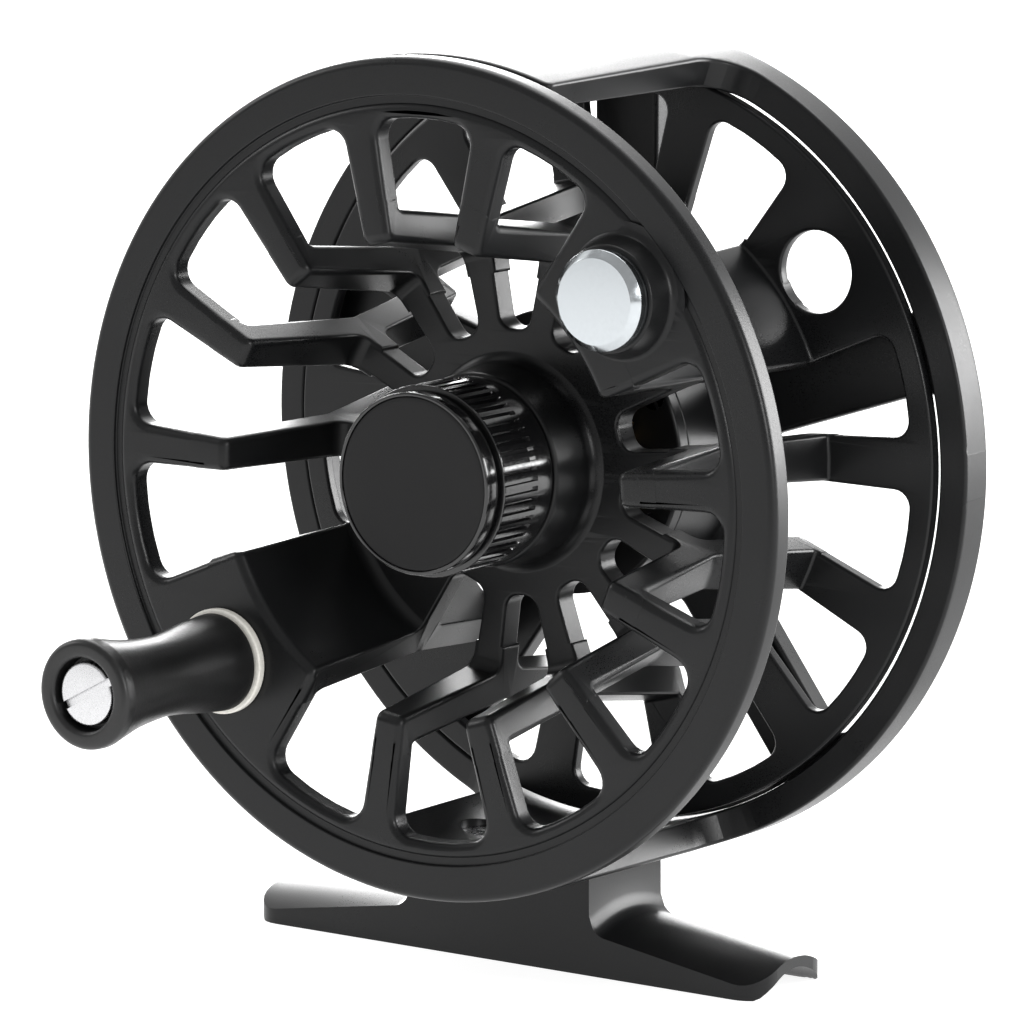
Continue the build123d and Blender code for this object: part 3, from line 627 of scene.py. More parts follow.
PROUD = 0.012               # the arms stand this far, in mm, out of the flanges they run into


def arm_outline(sizes):
    """One arm seen from its side, as (radius, depth): flange, waist, web, waist, flange."""
    inner, outer = sizes.arbor_inner / MM, sizes.arbor_outer / MM
    waist_in, waist_out = sizes.waist_inner / MM, sizes.waist_outer / MM
    near, far = sizes.web_front / MM, sizes.web_back / MM
    flange, back = sizes.flange / MM, SPOOL_BACK / MM + PROUD
    rear = back - sizes.rear_thickness / MM
    return rounded((
        (inner, -PROUD, 1.1), (inner - 0.45, flange + 0.6, 2.0), (waist_in, near, 1.6),
        (waist_in - 2.6, near + 0.03, 0.0), (waist_in - 2.6, far - 0.03, 0.0), (waist_in, far, 1.6),
        (inner - 0.3, rear - 0.6, 2.0), (inner, back, 0.9),
        (inner + 3.9, back, 0.0), (inner + 3.9, rear + 0.03, 0.0), (outer, rear, 1.7),
        (waist_out, (near + far) / 2, 4.0), (outer, flange, 1.2), (inner + 4.6, flange - 0.03, 0.0),
        (inner + 4.6, -PROUD, 0.0),
    ), 6)


def arm(outline, near, far, sizes):
    """One arm of the spool: its side outline carried across, with rounded edges."""
    web, back = sizes.web_back / MM, SPOOL_BACK / MM
    inner, reach = sizes.slot_inner / MM, (sizes.window_outer - sizes.slot_inner) / MM
    loop = outline if signed_area(outline) > 0 else list(reversed(outline))
    fine, broad = moved_inwards(loop, sizes.edge / MM), moved_inwards(loop, sizes.window_edge / MM)
    (direction, near_half), (far_direction, far_half) = near, far

    def station(side, sine, inset, share):
        points = []
        for (r, y), (fine_r, fine_y), (broad_r, broad_y) in zip(loop, fine, broad):
            soft = min(max((5.0 - y) / 2.0, 0.0), 1.0)
            edge = (sizes.edge + (sizes.window_edge - sizes.edge) * soft) / MM
            target = (fine_r + (broad_r - fine_r) * soft, fine_y + (broad_y - fine_y) * soft)
            out = (r - inner) / reach
            deep = y / back
            half = near_half[0] + (near_half[1] - near_half[0]) * out
            half += (far_half[0] + (far_half[1] - far_half[0]) * out - half) * deep + PROUD
            across = side * (half - edge * (1 - sine)) * share
            here = r + (target[0] - r) * inset
            depth = y + (target[1] - y) * inset
            lean = (far_direction - direction) * min(max((y - web) / (back - web), 0.0), 1.0)
            x, z = beside(math.sqrt(here * here - across * across), direction + lean, across)
            points.append(in_place(x, depth, z))
        return points

    steps = 4
    edge_stations = []
    for number in range(steps + 1):
        angle = math.pi / 2 * number / steps
        edge_stations.append((math.cos(angle), 1 - math.sin(angle)))
    stations = [station(-1, sine, inset, 1.0) for sine, inset in edge_stations]
    middle = 8 if near_half[0] > 3 else 2
    for number in range(1, middle):
        share = 1 - 2 * number / middle
        stations.append(station(-1, 0.0, 0.0, share))
    stations += [station(1, sine, inset, 1.0) for sine, inset in reversed(edge_stations)]
    bm = bmesh.new()
    rows = [[bm.verts.new(point) for point in points] for points in stations]
    count = len(loop)
    for row, onward in zip(rows, rows[1:]):
        for number in range(count):
            after = (number + 1) % count
            bm.faces.new((row[number], row[after], onward[after], onward[number]))
    for triangle in geometry.tessellate_polygon([[Vector((r, y, 0)) for r, y in fine]]):
        for row in (rows[0], rows[-1]):
            bm.faces.new([row[index] for index in triangle])
    return object_from(bm, "arm")


class REEL_OT_spool(bpy.types.Operator):
    """Make the spool: flanges, arms, web and hub as one casting"""
    bl_idname = "reel.spool"
    bl_label = "Spool"

    def execute(self, context):
        sizes = context.scene.reel_spool
        edge = sizes.edge / MM
        rim = sizes.rim_radius / MM
        groove = sizes.groove_radius / MM
        land = groove + sizes.groove_width / MM
        inner = sizes.arbor_inner / MM
        back = SPOOL_BACK / MM
        front_lines = SpoolLines(NARROW_FRONT, sizes.window_outer)
        rear_lines = SpoolLines(NARROW_REAR, sizes.rear_window_outer, sizes.rear_turn)
        flange = sizes.flange / MM
        opening = front_lines.flange_opening(inner + 1.9)
        front = plate("spool", [circle(groove, 240), opening], 0.0, flange, (sizes.window_edge / MM, 0.3))
        depth, groove_floor, overlap = sizes.rim_depth / MM, 0.42, 0.8
        rim_ring = lathe("rim", rounded((
            (groove - overlap, groove_floor, 0.0), (land, groove_floor, 0.12), (land, 0.0, 0.15),
            (rim, 0.0, 0.85), (rim, depth, 0.35), (land + 0.9, depth, 0.3), (land - 0.2, flange - 0.15, 0.5),
            (groove - overlap, flange - 0.15, 0.0),
        )), steps=240)
        side_view = arm_outline(sizes)
        arms = [arm(side_view, near, far, sizes) for near, far in zip(front_lines.spokes, rear_lines.spokes)]
        web = plate("web", [front_lines.web(sizes.waist_inner / MM + 1.2)], sizes.web_front / MM,
                    sizes.web_back / MM, edge)
        hub = lathe("hub", rounded(HUB_OUTLINE, 8), steps=128)
        x, z = polar((WEIGHT_BOX[0] + WEIGHT_BOX[1]).x / 2 / MM / math.cos(sizes.weight_direction),
                     math.degrees(sizes.weight_direction))
        hole_place = polar(math.hypot(x, z), math.degrees(sizes.weight_direction + sizes.rear_turn))
        hole = circle(sizes.hole_radius / MM, 64, hole_place)
        rear = plate(
            "rear", [circle(sizes.rear_radius / MM, 240), rear_lines.flange_opening(inner + 1.4), hole],
            back - sizes.rear_thickness / MM, back, edge,
        )
        boss_front, boss_radius = -2.6, 5.3
        weight_boss = lathe("boss", rounded((
            (0.0, boss_front, 0.0), (boss_radius, boss_front, 0.3), (6.1, 0.06, 0.9), (7.4, 0.06, 0.0),
            (7.4, 1.4, 0.0), (0.0, 1.4, 0.0),
        )), (x, z), 96)
        nut_radius, nut_back = 4.4, 4.2
        handle_boss = lathe("boss", rounded((
            (0.0, 1.0, 0.0), (nut_radius, 1.0, 0.0), (nut_radius, nut_back, 0.4), (0.0, nut_back, 0.0),
        )), (-x, -z), 64)
        body = joined(front, rim_ring, *arms, web, rear, hub, weight_boss, handle_boss)
        half_flats = 6.05
        hexagon = [polar(half_flats / math.cos(math.pi / 6), 30 + 60 * number) for number in range(6)]
        body = cut(
            body, plate("tool", [hexagon], 13.5, 23.0, 0.01),
            drill(5.9, 8.0, 13.6, steps=96), drill(3.0, -4.0, 0.9, (x, z)), drill(1.7, -2.0, 5.0, (-x, -z)),
            drill(sizes.hole_radius / MM - 0.01, back - 3.4, back + 1, hole_place, 64),
        )
        finished(body, "spool_casting", "spool_assembly", "spool", "spool_black")
        return {"FINISHED"}


class REEL_OT_counterweight(bpy.types.Operator):
    """Make the bright counterweight with its chamfered face"""
    bl_idname = "reel.counterweight"
    bl_label = "Counterweight"

    def execute(self, context):
        centre, front, _ = placed(WEIGHT_BOX)
        radius = (WEIGHT_BOX[1].x - WEIGHT_BOX[0].x) / 2 / MM
        chamfer, shoulder = 0.75, front + 1.95
        stud, stud_end = 2.9, 0.8
        body = lathe("plug", rounded((
            (0.0, front, 0.0), (radius - chamfer, front, 0.12), (radius, front + chamfer, 0.12),
            (radius, shoulder, 0.1), (stud, shoulder, 0.0), (stud, stud_end, 0.2), (0.0, stud_end, 0.0),
        )), centre, 128)
        finished(body, "counterweight_plug", "spool_assembly", "counterweight", "chrome_bright", 25)
        return {"FINISHED"}


# ---- front knob ----
class REEL_OT_release_knob(bpy.types.Operator):
    """Make the knurled release knob and its face disc"""
    bl_idname = "reel.release_knob"
    bl_label = "Release knob"

    def execute(self, context):
        sizes = context.scene.reel_knobs
        face, body_radius = sizes.face_radius / MM, sizes.body_radius / MM
        ridge_depth = sizes.ridge_depth / MM
        ridges = sizes.ridges
        band = (sizes.knurl_front / MM, sizes.knurl_back / MM)
        skirt = sizes.skirt_back / MM
        ramp = 0.4

        def knurl(radius, depth, angle):
            if radius < body_radius - 0.3 or not band[0] < depth < band[1]:
                return radius
            fade = min((depth - band[0]) / ramp, (band[1] - depth) / ramp, 1.0)
            phase = (angle * ridges / (2 * math.pi)) % 1.0
            valley = min(max((0.25 - abs(phase - 0.5)) * 12, 0.0), 1.0)
            return radius - ridge_depth * fade * valley

        front, lip = placed(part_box("release_knob"))[1], 8.8
        neck, groove, bore = 5.6, 4.95, 4.05
        outline = rounded((
            (0.0, 0.15, 0.0), (lip, 0.15, 0.05), (lip, front, 0.08), (face, front, 0.3), (face, 1.0, 0.12),
            (lip, 1.05, 0.08), (lip, 1.5, 0.08), (body_radius, 1.52, 0.15),
            *[(body_radius, depth, 0.0) for depth in (1.8, 2.05, 4.4, 6.75, 7.0, 7.25)],
            (body_radius, skirt, 0.35), (neck, skirt, 0.1), (neck, 11.55, 0.05), (groove, 11.55, 0.05),
            (groove, 12.45, 0.05), (neck, 12.45, 0.05), (neck, 13.3, 0.2), (bore, 13.3, 0.1),
            (bore, 3.4, 0.1), (0.0, 3.4, 0.0),
        ))
        body = lathe("knob", outline, steps=ridges * 12, wave=knurl)
        finished(body, "release_knob_body", "front_knob", "release_knob", "knob_black", 30)
        disc = lathe("disc", rounded((
            (0.0, front + 0.06, 0.0), (lip - 0.6, front + 0.06, 0.0), (lip - 0.06, front + 0.12, 0.1),
            (lip - 0.06, 0.1, 0.0), (0.0, 0.1, 0.0),
        )), steps=128)
        finished(disc, "release_knob_face", "front_knob", "knob_face_disc", "disc_black", 30)
        return {"FINISHED"}


# ---- handle ----
class REEL_OT_handle(bpy.types.Operator):
    """Make the waisted grip, its slotted screw and its washer"""
    bl_idname = "reel.handle"
    bl_label = "Handle"

    def execute(self, context):
        centre, front, back = placed(HANDLE_BOX)
        bore, recess, recess_floor = 2.05, 3.75, front + 2.2
        side = smooth_line((
            (5.05, back - 0.25), (4.75, back - 3.5), (4.25, back - 7.5), (4.15, back - 10.5),
            (4.55, back - 15.0), (5.2, back - 18.3), (5.62, back - 20.1),
        ), 8)
        end = rounded((
            (5.65, front + 1.4, 0.0), (5.6, front, 0.9), (recess, front, 0.5), (recess, recess_floor, 0.1),
            (bore, recess_floor, 0.0), (bore, back, 0.1), (4.6, back, 0.25), (5.05, back - 0.2, 0.0),
        ), 6)
        grip = lathe("grip", list(side) + list(end), centre, 128)
        finished(grip, "handle_grip_moulding", "handle", "handle_grip", "grip_black", 45)
        head, head_back, head_radius = front + 0.62, front + 2.07, 3.25
        shoulder, thread = 2.0, 1.65
        screw = lathe("screw", rounded((
            (0.0, head, 0.0), (head_radius, head, 0.28), (head_radius, head_back, 0.0),
            (shoulder, head_back, 0.0), (shoulder, -0.02, 0.0), (thread, -0.02, 0.0), (thread, 4.0, 0.2),
            (0.0, 4.0, 0.0),
        )), centre, 96)
        slot_half, reach, slot_direction = 0.42, 4.0, 28
        corners = [beside(along * reach, slot_direction, across * slot_half)
                   for along, across in ((-1, -1), (1, -1), (1, 1), (-1, 1))]
        corners = [(centre[0] + x, centre[1] + z) for x, z in corners]
        screw = cut(screw, plate("tool", [corners], head - 0.5, head + 0.65, 0.02))
        finished(screw, "handle_screw_slotted", "spool_assembly", "handle_screw", "steel", 30)
        washer = lathe("washer", rounded((
            (2.06, -0.95, 0.1), (5.45, -0.95, 0.2), (5.45, -0.04, 0.2), (2.06, -0.04, 0.1),
        )), centre, 96)
        finished(washer, "handle_washer_ring", "spool_assembly", "handle_washer", "white_nylon", 30)
        return {"FINISHED"}


# ---- frame ----
def bent_half(sizes, middle_turn):
    """A little over half of the ring with its crossbar, drawn flat and bent round the axis."""
    radius = sizes.ring_radius / MM
    ring_front, ring_back = sizes.ring_front / MM, sizes.ring_back / MM
    bars_front, flare = sizes.bars_front / MM, sizes.flare / MM
    draft_end = sizes.draft_end / MM
    half = sizes.bar_half * radius
    slices = 120
    pitch = math.pi * radius / slices
    end = math.pi * radius / 2 + 2.5 * pitch
    corners = (
        (-end, ring_back, 0.0), (end, ring_back, 0.0), (end, ring_front, 0.0),
        (half, ring_front, flare), (half, bars_front, 1.0), (-half, bars_front, 1.0),
        (-half, ring_front, flare), (-end, ring_front, 0.0),
    )
    bm = plate_mesh([rounded(corners, 8)], 0.0, sizes.wall / MM, (0.4, 0.35))
    for number in range(-slices // 2 - 2, slices // 2 + 3):
        bmesh.ops.bisect_plane(
            bm, geom=bm.verts[:] + bm.edges[:] + bm.faces[:], dist=1e-5,
            plane_co=(pitch * number, 0, 0), plane_no=(1, 0, 0),
        )
    for vert in bm.verts:
        angle = vert.co.x / radius + middle_turn
        draft = sizes.draft / MM * max(draft_end - vert.co.z, 0.0) / (draft_end - bars_front)
        reach = radius - draft - vert.co.y * (1 - draft / (sizes.wall / MM))
        vert.co = in_place(reach * math.cos(angle), vert.co.z, reach * math.sin(angle))
    return object_from(bm, "band")


def back_windows(sizes):
    """The five openings of the back plate."""
    half = sizes.spoke_width / 2 / MM
    outer, hub = sizes.window_outer / MM, sizes.hub_radius / MM
    loops = []
    for number in range(5):
        first = 90 + 72 * number
        after = first + 72
        hub_turn = math.degrees(math.asin(half / hub))
        out_turn = math.degrees(math.asin(half / outer))
        outside = arc(outer, first + out_turn, after - out_turn, 16)
        inside = arc(hub, after - hub_turn, first + hub_turn, 8)
        corners = [(*outside[0], 3.0), *[(*p, 0.0) for p in outside[2:-2]], (*outside[-1], 3.0)]
        corners += [(*inside[0], 3.0), *[(*p, 0.0) for p in inside[2:-2]], (*inside[-1], 3.0)]
        loops.append(rounded(corners, 8))
    return loops


class REEL_OT_frame_casting(bpy.types.Operator):
    """Make the frame: ring, crossbars, back plate and drag housing as one casting"""
    bl_idname = "reel.frame_casting"
    bl_label = "Frame casting"

    def execute(self, context):
        sizes = context.scene.reel_frame
        plate_front, plate_back = sizes.plate_front / MM, sizes.plate_back / MM
        ring = sizes.ring_radius / MM
        band = bent_half(sizes, math.pi / 2)
        back = plate("back", [circle(ring - 1.2, 240), *back_windows(sizes)], plate_front, plate_back, 0.55)
        bore, housing = sizes.housing_bore / MM, sizes.housing_radius / MM
        front, floor = sizes.housing_front / MM, sizes.housing_floor / MM
        boss, boss_back = sizes.boss_radius / MM, sizes.boss_back / MM
        foot_of_cup = plate_front + 0.05
        inside = plate_back - 0.6
        cup = lathe("cup", rounded((
            (0.0, floor, 0.0), (bore, floor, 0.2), (bore, front, 0.15), (housing, front, 0.3),
            (housing, foot_of_cup, 1.4), (housing + 1.8, foot_of_cup, 0.0), (housing + 1.8, inside, 0.0),
            (boss, inside, 0.0), (boss, boss_back, 0.3), (0.0, boss_back, 0.0),
        )), steps=128)
        body = joined(band, bent_half(sizes, -math.pi / 2), back, cup)
        tools = [drill(3.02, floor - 1.4, boss_back + 0.8)]
        tools += [screw_hole(low, high) for low, high in foot_screw_boxes()]
        cut(body, *tools)
        finished(body, "frame_casting_body", "frame", "frame_casting", "frame_black")
        return {"FINISHED"}


def foot_screw_boxes():
    """The box of each of the two foot screws, which share one node."""
    verts = [vert.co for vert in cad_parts["foot_screws"].data.vertices]
    boxes = []
    for side in (-1, 1):
        mine = [co for co in verts if co.x * side > 0]
        low = Vector([min(co[axis] for co in mine) for axis in range(3)])
        high = Vector([max(co[axis] for co in mine) for axis in range(3)])
        boxes.append((low, high))
    return boxes


def screw_hole(low, high):
    """A countersink and its clearance hole, standing upright over a screw's box."""
    head, shank, sink, end = 3.0, 1.62, -1.6, -9.0
    outline = ((0, 3.0), (head, 3.0), (head, 0.05), (shank, sink), (shank, end), (0, end))
    hole = lathe("tool", outline, steps=48)
    hole.data.transform(Matrix.Translation(-in_place(0, 0, 0)))
    hole.data.transform(Matrix.Rotation(math.radians(90), 4, "X"))
    place = ((low.x + high.x) / 2, (low.y + high.y) / 2, high.z)
    hole.data.transform(Matrix.Translation(place))
    return hole


# ---- foot ----
class FootLines:
    """The foot seen from above and its heights, in millimetres from the middle of its sole."""

    def __init__(self):
        scene = bpy.context.scene
        self.sizes, self.bars = scene.reel_foot, scene.reel_frame
        self.half_length = self.sizes.half_length / MM
        self.half_width = self.sizes.width / 2 / MM
        self.pedestal = self.sizes.pedestal_half / MM
        self.corner = self.sizes.tip_round / MM
        self.flat_end = self.half_length - self.corner
        self.middle_y = (FOOT_LOW.y + FOOT_HIGH.y) / 2
        self.fillet = 1.8

    def seat(self, x, y):
        """Height of the hollow that the crossbar lies in."""
        bars, seam = self.bars, 0.05
        depth = (self.middle_y - FRONT_Y) / MM + y
        drafted = (bars.draft_end - bars.bars_front) / MM
        draft = bars.draft / MM * max(bars.draft_end / MM - depth, 0.0) / drafted
        radius = bars.ring_radius / MM + seam - draft
        return AXIS_Z / MM - math.sqrt(radius * radius - x * x)

    def top(self, x, y, under_bar):
        """Height of the upper side: the seat, or a wing with a fillet up to the pedestal."""
        if under_bar:
            return self.seat(x, y)
        sizes, away = self.sizes, abs(x) - self.pedestal
        share = min(max(away / (self.half_length - self.pedestal), 0.0), 1.0)
        edge = (sizes.root_edge + (sizes.tip_edge - sizes.root_edge) * share) / MM
        crown = (sizes.root_crown + (sizes.tip_crown - sizes.root_crown) * share) / MM
        wing = crown - (crown - edge) * (y / self.half_width) ** 2
        if away < self.fillet:
            rise = math.sqrt(max(self.fillet ** 2 - (self.fillet - away) ** 2, 0.0))
            return wing + self.fillet - rise
        return wing

    def underside(self, y):
        channel = self.sizes.channel_half / MM
        if abs(y) >= channel:
            return 0.0
        return self.sizes.channel_rise / MM * (1 - (y / channel) ** 2)

    def reach(self, x):
        """Half the foot's width at x, less at its rounded corners."""
        past = abs(x) - self.flat_end
        if past <= 0:
            return self.half_width
        return self.half_width - self.corner + math.sqrt(max(self.corner ** 2 - past ** 2, 0.0))

    def stations(self):
        """Places along the foot as (x, under the crossbar or not), from one tip to the other."""
        round_steps, wing_steps, fillet_steps, seat_steps = 7, 16, 6, 10
        quarter = math.pi / 2
        half = [(self.flat_end + self.corner * math.cos(quarter * number / round_steps), False)
                for number in range(round_steps + 1)]
        wing = self.pedestal + self.fillet - self.flat_end
        half += [(self.flat_end + wing * number / wing_steps, False) for number in range(1, wing_steps + 1)]
        half += [(self.pedestal + self.fillet * math.cos(quarter * number / fillet_steps), False)
                 for number in range(1, fillet_steps + 1)]
        half.append((self.pedestal - 0.03, True))
        half += [(self.pedestal * (1 - number / seat_steps), True) for number in range(1, seat_steps)]
        return [(-x, under_bar) for x, under_bar in half] + [(0.0, True)] + half[::-1]

    def mesh(self):
        """A skin round the foot with one row of points for each station."""
        bm = bmesh.new()
        across = 24
        rows = []
        for x, under_bar in self.stations():
            reach = self.reach(x)
            ys = [reach * math.sin(math.pi / 2 * (2 * number / across - 1)) for number in range(across + 1)]
            row = [(x, y, self.top(x, y, under_bar)) for y in ys]
            row += [(x, y, self.underside(y)) for y in reversed(ys)]
            rows.append([bm.verts.new((a * MM, self.middle_y + b * MM, c * MM)) for a, b, c in row])
        for before, after in zip(rows, rows[1:]):
            for number in range(len(before)):
                onward = (number + 1) % len(before)
                bm.faces.new((before[number], before[onward], after[onward], after[number]))
        for row in (rows[0], rows[-1]):
            for number in range(across):
                bm.faces.new((row[number], row[number + 1], row[-2 - number], row[-1 - number]))
        return bm


class REEL_OT_foot(bpy.types.Operator):
    """Make the foot: a saddle-shaped bar with a pedestal up to the crossbar"""
    bl_idname = "reel.foot"
    bl_label = "Foot"

    def execute(self, context):
        body = object_from(FootLines().mesh(), "foot")
        cut(body, *[screw_hole(low, high) for low, high in foot_screw_boxes()])
        bevel = body.modifiers.new("soft edges", "BEVEL")
        bevel.width = 0.00028
        bevel.segments = 2
        bevel.limit_method = "ANGLE"
        bevel.angle_limit = math.radians(50)
        finished(body, "foot_body", "frame", "foot", "foot_black", 60)
        return {"FINISHED"}


# ---- back knob ----
class REEL_OT_drag_knob(bpy.types.Operator):
    """Make the fluted drag knob and its cap"""
    bl_idname = "reel.drag_knob"
    bl_label = "Drag knob"

    def execute(self, context):
        sizes = context.scene.reel_knobs
        radius = sizes.drag_radius / MM
        flutes = sizes.flutes
        flute_depth = sizes.flute_depth / MM
        front, back = placed(DRAG_BOX)[1:]
        socket, socket_floor = sizes.socket_radius / MM, sizes.socket_depth / MM
        cap_radius, cap_front = sizes.cap_radius / MM, sizes.cap_front / MM
        screw_hole_radius, screw_seat = 3.3, cap_front - 1.9

        def fluted(here, depth, angle):
            if here < radius - 2.6:
                return here
            share = min(max((here - (radius - 2.6)) / 2.0, 0.0), 1.0)
            wave = max(0.0, math.cos(angle * flutes)) ** 1.5
            return here - flute_depth * share * wave

        outline = rounded((
            (socket, front, 0.15), (9.05, front, 0.1), (9.05, front + 0.5, 0.1), (10.95, front + 0.5, 0.1),
            (10.95, front, 0.1), (radius - 0.9, front, 0.3), (radius, front + 0.9, 0.5),
            (radius, front + 3.0, 0.0), (radius, back - 3.0, 0.0), (radius, back - 1.1, 0.6),
            (radius - 1.4, back, 0.6), (cap_radius + 0.15, back, 0.25),
            (cap_radius + 0.15, screw_seat, 0.1), (screw_hole_radius, screw_seat, 0.0),
            (screw_hole_radius, socket_floor, 0.0), (socket, socket_floor, 0.1),
        ))
        body = lathe("knob", outline, steps=flutes * 16, wave=fluted)
        finished(body, "drag_knob_body", "rear_knob", "drag_knob", "knob_black", 35)
        cap = lathe("cap", rounded((
            (0.0, cap_front, 0.0), (cap_radius, cap_front, 0.1), (cap_radius, back - 0.1, 0.35),
            (0.0, back - 0.1, 0.0),
        )), steps=96)
        finished(cap, "drag_knob_cap", "rear_knob", "knob_cap", "disc_black", 30)
        return {"FINISHED"}


# ---- drive and drag ----
class REEL_OT_drive_parts(bpy.types.Operator):
    """Make the drag cover, which shows through the spool"""
    bl_idname = "reel.drive_parts"
    bl_label = "Drive parts"

    def execute(self, context):
        sizes = context.scene.reel_frame
        front, back = sizes.cover_front / MM, sizes.housing_front / MM
        bore, radius = sizes.cover_bore / MM, sizes.housing_radius / MM
        screw_circle, head_radius, head_depth = 13.2, 1.35, 0.72
        cover = lathe("cover", rounded((
            (bore, front, 0.15), (radius, front, 0.35), (radius, back, 0.05), (bore, back, 0.05),
        )), steps=128)
        cut(cover, *[
            drill(head_radius, front - 1, front + head_depth, polar(screw_circle, -direction), 32)
            for direction in (30, 150, 270)
        ])
        finished(cover, "drag_cover_plate", "frame", "drag_cover", "frame_black", 35)
        return {"FINISHED"}


NODE_FINISHES = {
    "foot_screws": "steel", "spindle": "steel", "front_bearing": "steel", "rear_bearing": "steel",
    "hub_screw": "steel", "drive_hub": "aluminium", "click_gear": "brass", "one_way_clutch": "steel",
    "drag_rotor": "steel", "cover_screws": "steel", "hub_seal": "rubber", "front_drag_washer": "carbon",
    "rear_drag_washer": "carbon", "pressure_plate": "steel", "disc_springs": "steel",
    "thrust_pins": "steel", "thrust_washer": "brass", "click_pawl": "brass", "pawl_pin": "steel",
    "pawl_spring": "steel", "knob_washer": "nylon", "knob_screw": "steel", "detent_spring": "steel",
    "detent_ball": "steel", "knob_retaining_ring": "steel",
}


class REEL_OT_small_parts(bpy.types.Operator):
    """Give the small working parts their metal, rubber and nylon finishes"""
    bl_idname = "reel.small_parts"
    bl_label = "Small parts"

    def execute(self, context):
        for node, name in NODE_FINISHES.items():
            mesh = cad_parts[node].data
            mesh.materials.clear()
            mesh.materials.append(finish_for(name))
        return {"FINISHED"}


# ---- stage ----
LAMPS = (
    ("lamp_top", (-0.15, 0.30, 0.75), 0.8, 7.0),
    ("lamp_back_left", (-0.60, 0.70, 0.30), 0.6, 10.0),
    ("lamp_back_right", (0.62, 0.62, 0.22), 0.6, 14.0),
    ("lamp_right", (0.85, -0.35, 0.30), 0.3, 2.6),
    ("lamp_left", (-0.80, -0.30, 0.50), 0.3, 1.2),
)


def stage_floor(away, sideways):
    """A pale floor that curves up into a backdrop, and the room's even light."""
    material = bpy.data.materials.new("pale_floor")
    material.use_nodes = True
    shader = material.node_tree.nodes["Principled BSDF"].inputs
    shader["Base Color"].default_value = (*bpy.context.scene.reel_colours.floor, 1.0)
    shader["Roughness"].default_value = 0.9
    shader["Specular IOR Level"].default_value = 0.1
    shader["Emission Color"].default_value = (1.0, 1.0, 1.0, 1.0)
    shader["Emission Strength"].default_value = 0.88
    bend, near, far, wide, high = 0.5, 1.6, 1.2, 3.0, 2.2
    profile = [(-near, 0.0), (far - bend, 0.0)]
    for number in range(1, 13):
        angle = math.pi / 2 * number / 12
        profile.append((far - bend + bend * math.sin(angle), bend - bend * math.cos(angle)))
    profile.append((far, high))
    bm = bmesh.new()
    rows = []
    for along, up in profile:
        point = away * along + Vector((0, 0, up))
        rows.append([bm.verts.new(point + sideways * side) for side in (-wide, wide)])
    for first, second in zip(rows, rows[1:]):
        bm.faces.new((first[0], first[1], second[1], second[0]))
    floor = object_from(bm, "stage_floor")
    for polygon in floor.data.polygons:
        polygon.use_smooth = True
    floor.data.materials.append(material)
    world = bpy.data.worlds.new("soft_room")
    bpy.context.scene.world = world
    world.use_nodes = True
    background = world.node_tree.nodes["Background"].inputs
    background["Color"].default_value = (1.0, 1.0, 1.0, 1.0)
    background["Strength"].default_value = 0.50


def stage_lamps():
    target = Vector((0, 0, AXIS_Z))
    for name, place, size, power in LAMPS:
        light = bpy.data.lights.new(name, "AREA")
        light.shape = "DISK"
        light.size = size
        light.energy = power
        lamp = bpy.data.objects.new(name, light)
        lamp.location = place
        lamp.rotation_euler = (target - Vector(place)).to_track_quat("-Z", "Y").to_euler()
        bpy.context.scene.collection.objects.link(lamp)


def stage_camera(sizes, sideways):
    a, e = sizes.azimuth, sizes.elevation
    forward = Vector((-math.sin(a) * math.cos(e), math.cos(a) * math.cos(e), -math.sin(e)))
    up = sideways.cross(forward)
    pivot = Vector((0, FRONT_Y, AXIS_Z))
    camera = bpy.data.cameras.new("camera")
    camera.lens = sizes.lens
    camera.sensor_width = 36.0
    camera.clip_start = 0.01
    camera.clip_end = 20.0
    eye = bpy.data.objects.new("camera", camera)
    location = pivot - forward * sizes.distance + sideways * sizes.aim_right + up * sizes.aim_up
    turn_matrix = Matrix((sideways, up, -forward)).transposed().to_4x4()
    eye.matrix_world = Matrix.Translation(location) @ turn_matrix
    bpy.context.scene.collection.objects.link(eye)
    bpy.context.scene.camera = eye


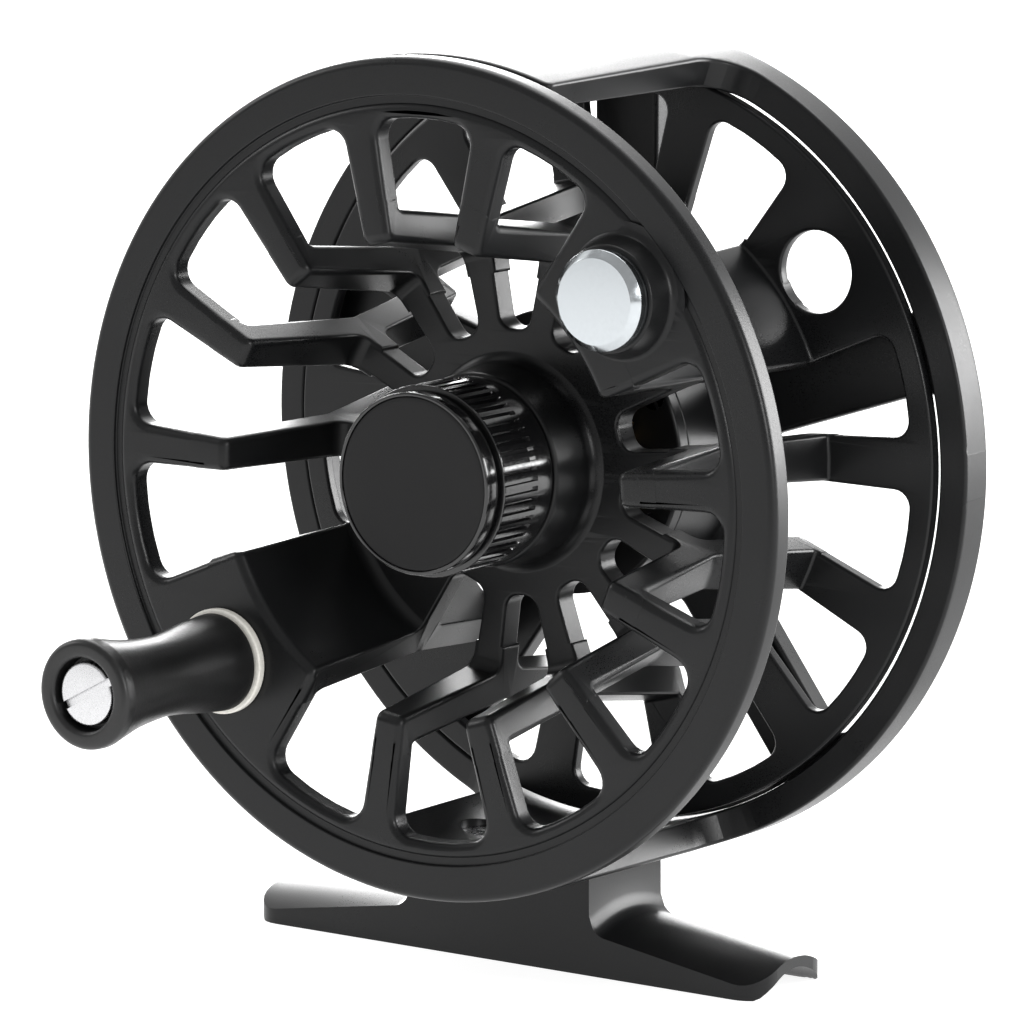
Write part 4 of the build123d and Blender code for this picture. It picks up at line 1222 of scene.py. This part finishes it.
class REEL_OT_stage(bpy.types.Operator):
    """Set the pale floor, the soft light and the camera"""
    bl_idname = "reel.stage"
    bl_label = "Stage"

    def execute(self, context):
        sizes = context.scene.reel_stage
        a = sizes.azimuth
        sideways = Vector((math.cos(a), math.sin(a), 0))
        stage_floor(Vector((-math.sin(a), math.cos(a), 0)), sideways)
        stage_lamps()
        stage_camera(sizes, sideways)
        context.scene.view_settings.view_transform = "Standard"
        return {"FINISHED"}


PIECE_OPERATORS = (
    REEL_OT_spool, REEL_OT_counterweight, REEL_OT_release_knob, REEL_OT_handle, REEL_OT_frame_casting,
    REEL_OT_foot, REEL_OT_drag_knob, REEL_OT_drive_parts, REEL_OT_small_parts, REEL_OT_stage,
)


class REEL_PT_panel(bpy.types.Panel):
    """Panel that lists the reel's pieces"""
    bl_idname = "REEL_PT_panel"
    bl_label = "Fly reel"
    bl_space_type = "VIEW_3D"
    bl_region_type = "UI"
    bl_category = "Reel"

    def draw(self, context):
        column = self.layout.column(align=True)
        for operator in PIECE_OPERATORS:
            column.operator(operator.bl_idname)


SETTINGS = (
    ("reel_spool", ReelSpoolSizes), ("reel_frame", ReelFrameSizes), ("reel_foot", ReelFootSizes),
    ("reel_knobs", ReelKnobSizes), ("reel_colours", ReelColours), ("reel_stage", ReelStageSizes),
)
CLASSES = tuple(group for _, group in SETTINGS) + PIECE_OPERATORS + (REEL_PT_panel,)


def register():
    for cls in CLASSES:
        bpy.utils.register_class(cls)
    for name, group in SETTINGS:
        setattr(bpy.types.Scene, name, PointerProperty(type=group))


def unregister():
    for name, _ in SETTINGS:
        delattr(bpy.types.Scene, name)
    for cls in reversed(CLASSES):
        bpy.utils.unregister_class(cls)


def main():
    register()
    bpy.ops.reel.spool()
    bpy.ops.reel.counterweight()
    bpy.ops.reel.release_knob()
    bpy.ops.reel.handle()
    bpy.ops.reel.frame_casting()
    bpy.ops.reel.foot()
    bpy.ops.reel.drag_knob()
    bpy.ops.reel.drive_parts()
    bpy.ops.reel.small_parts()
    bpy.ops.reel.stage()


if __name__ == "__main__":
    main()
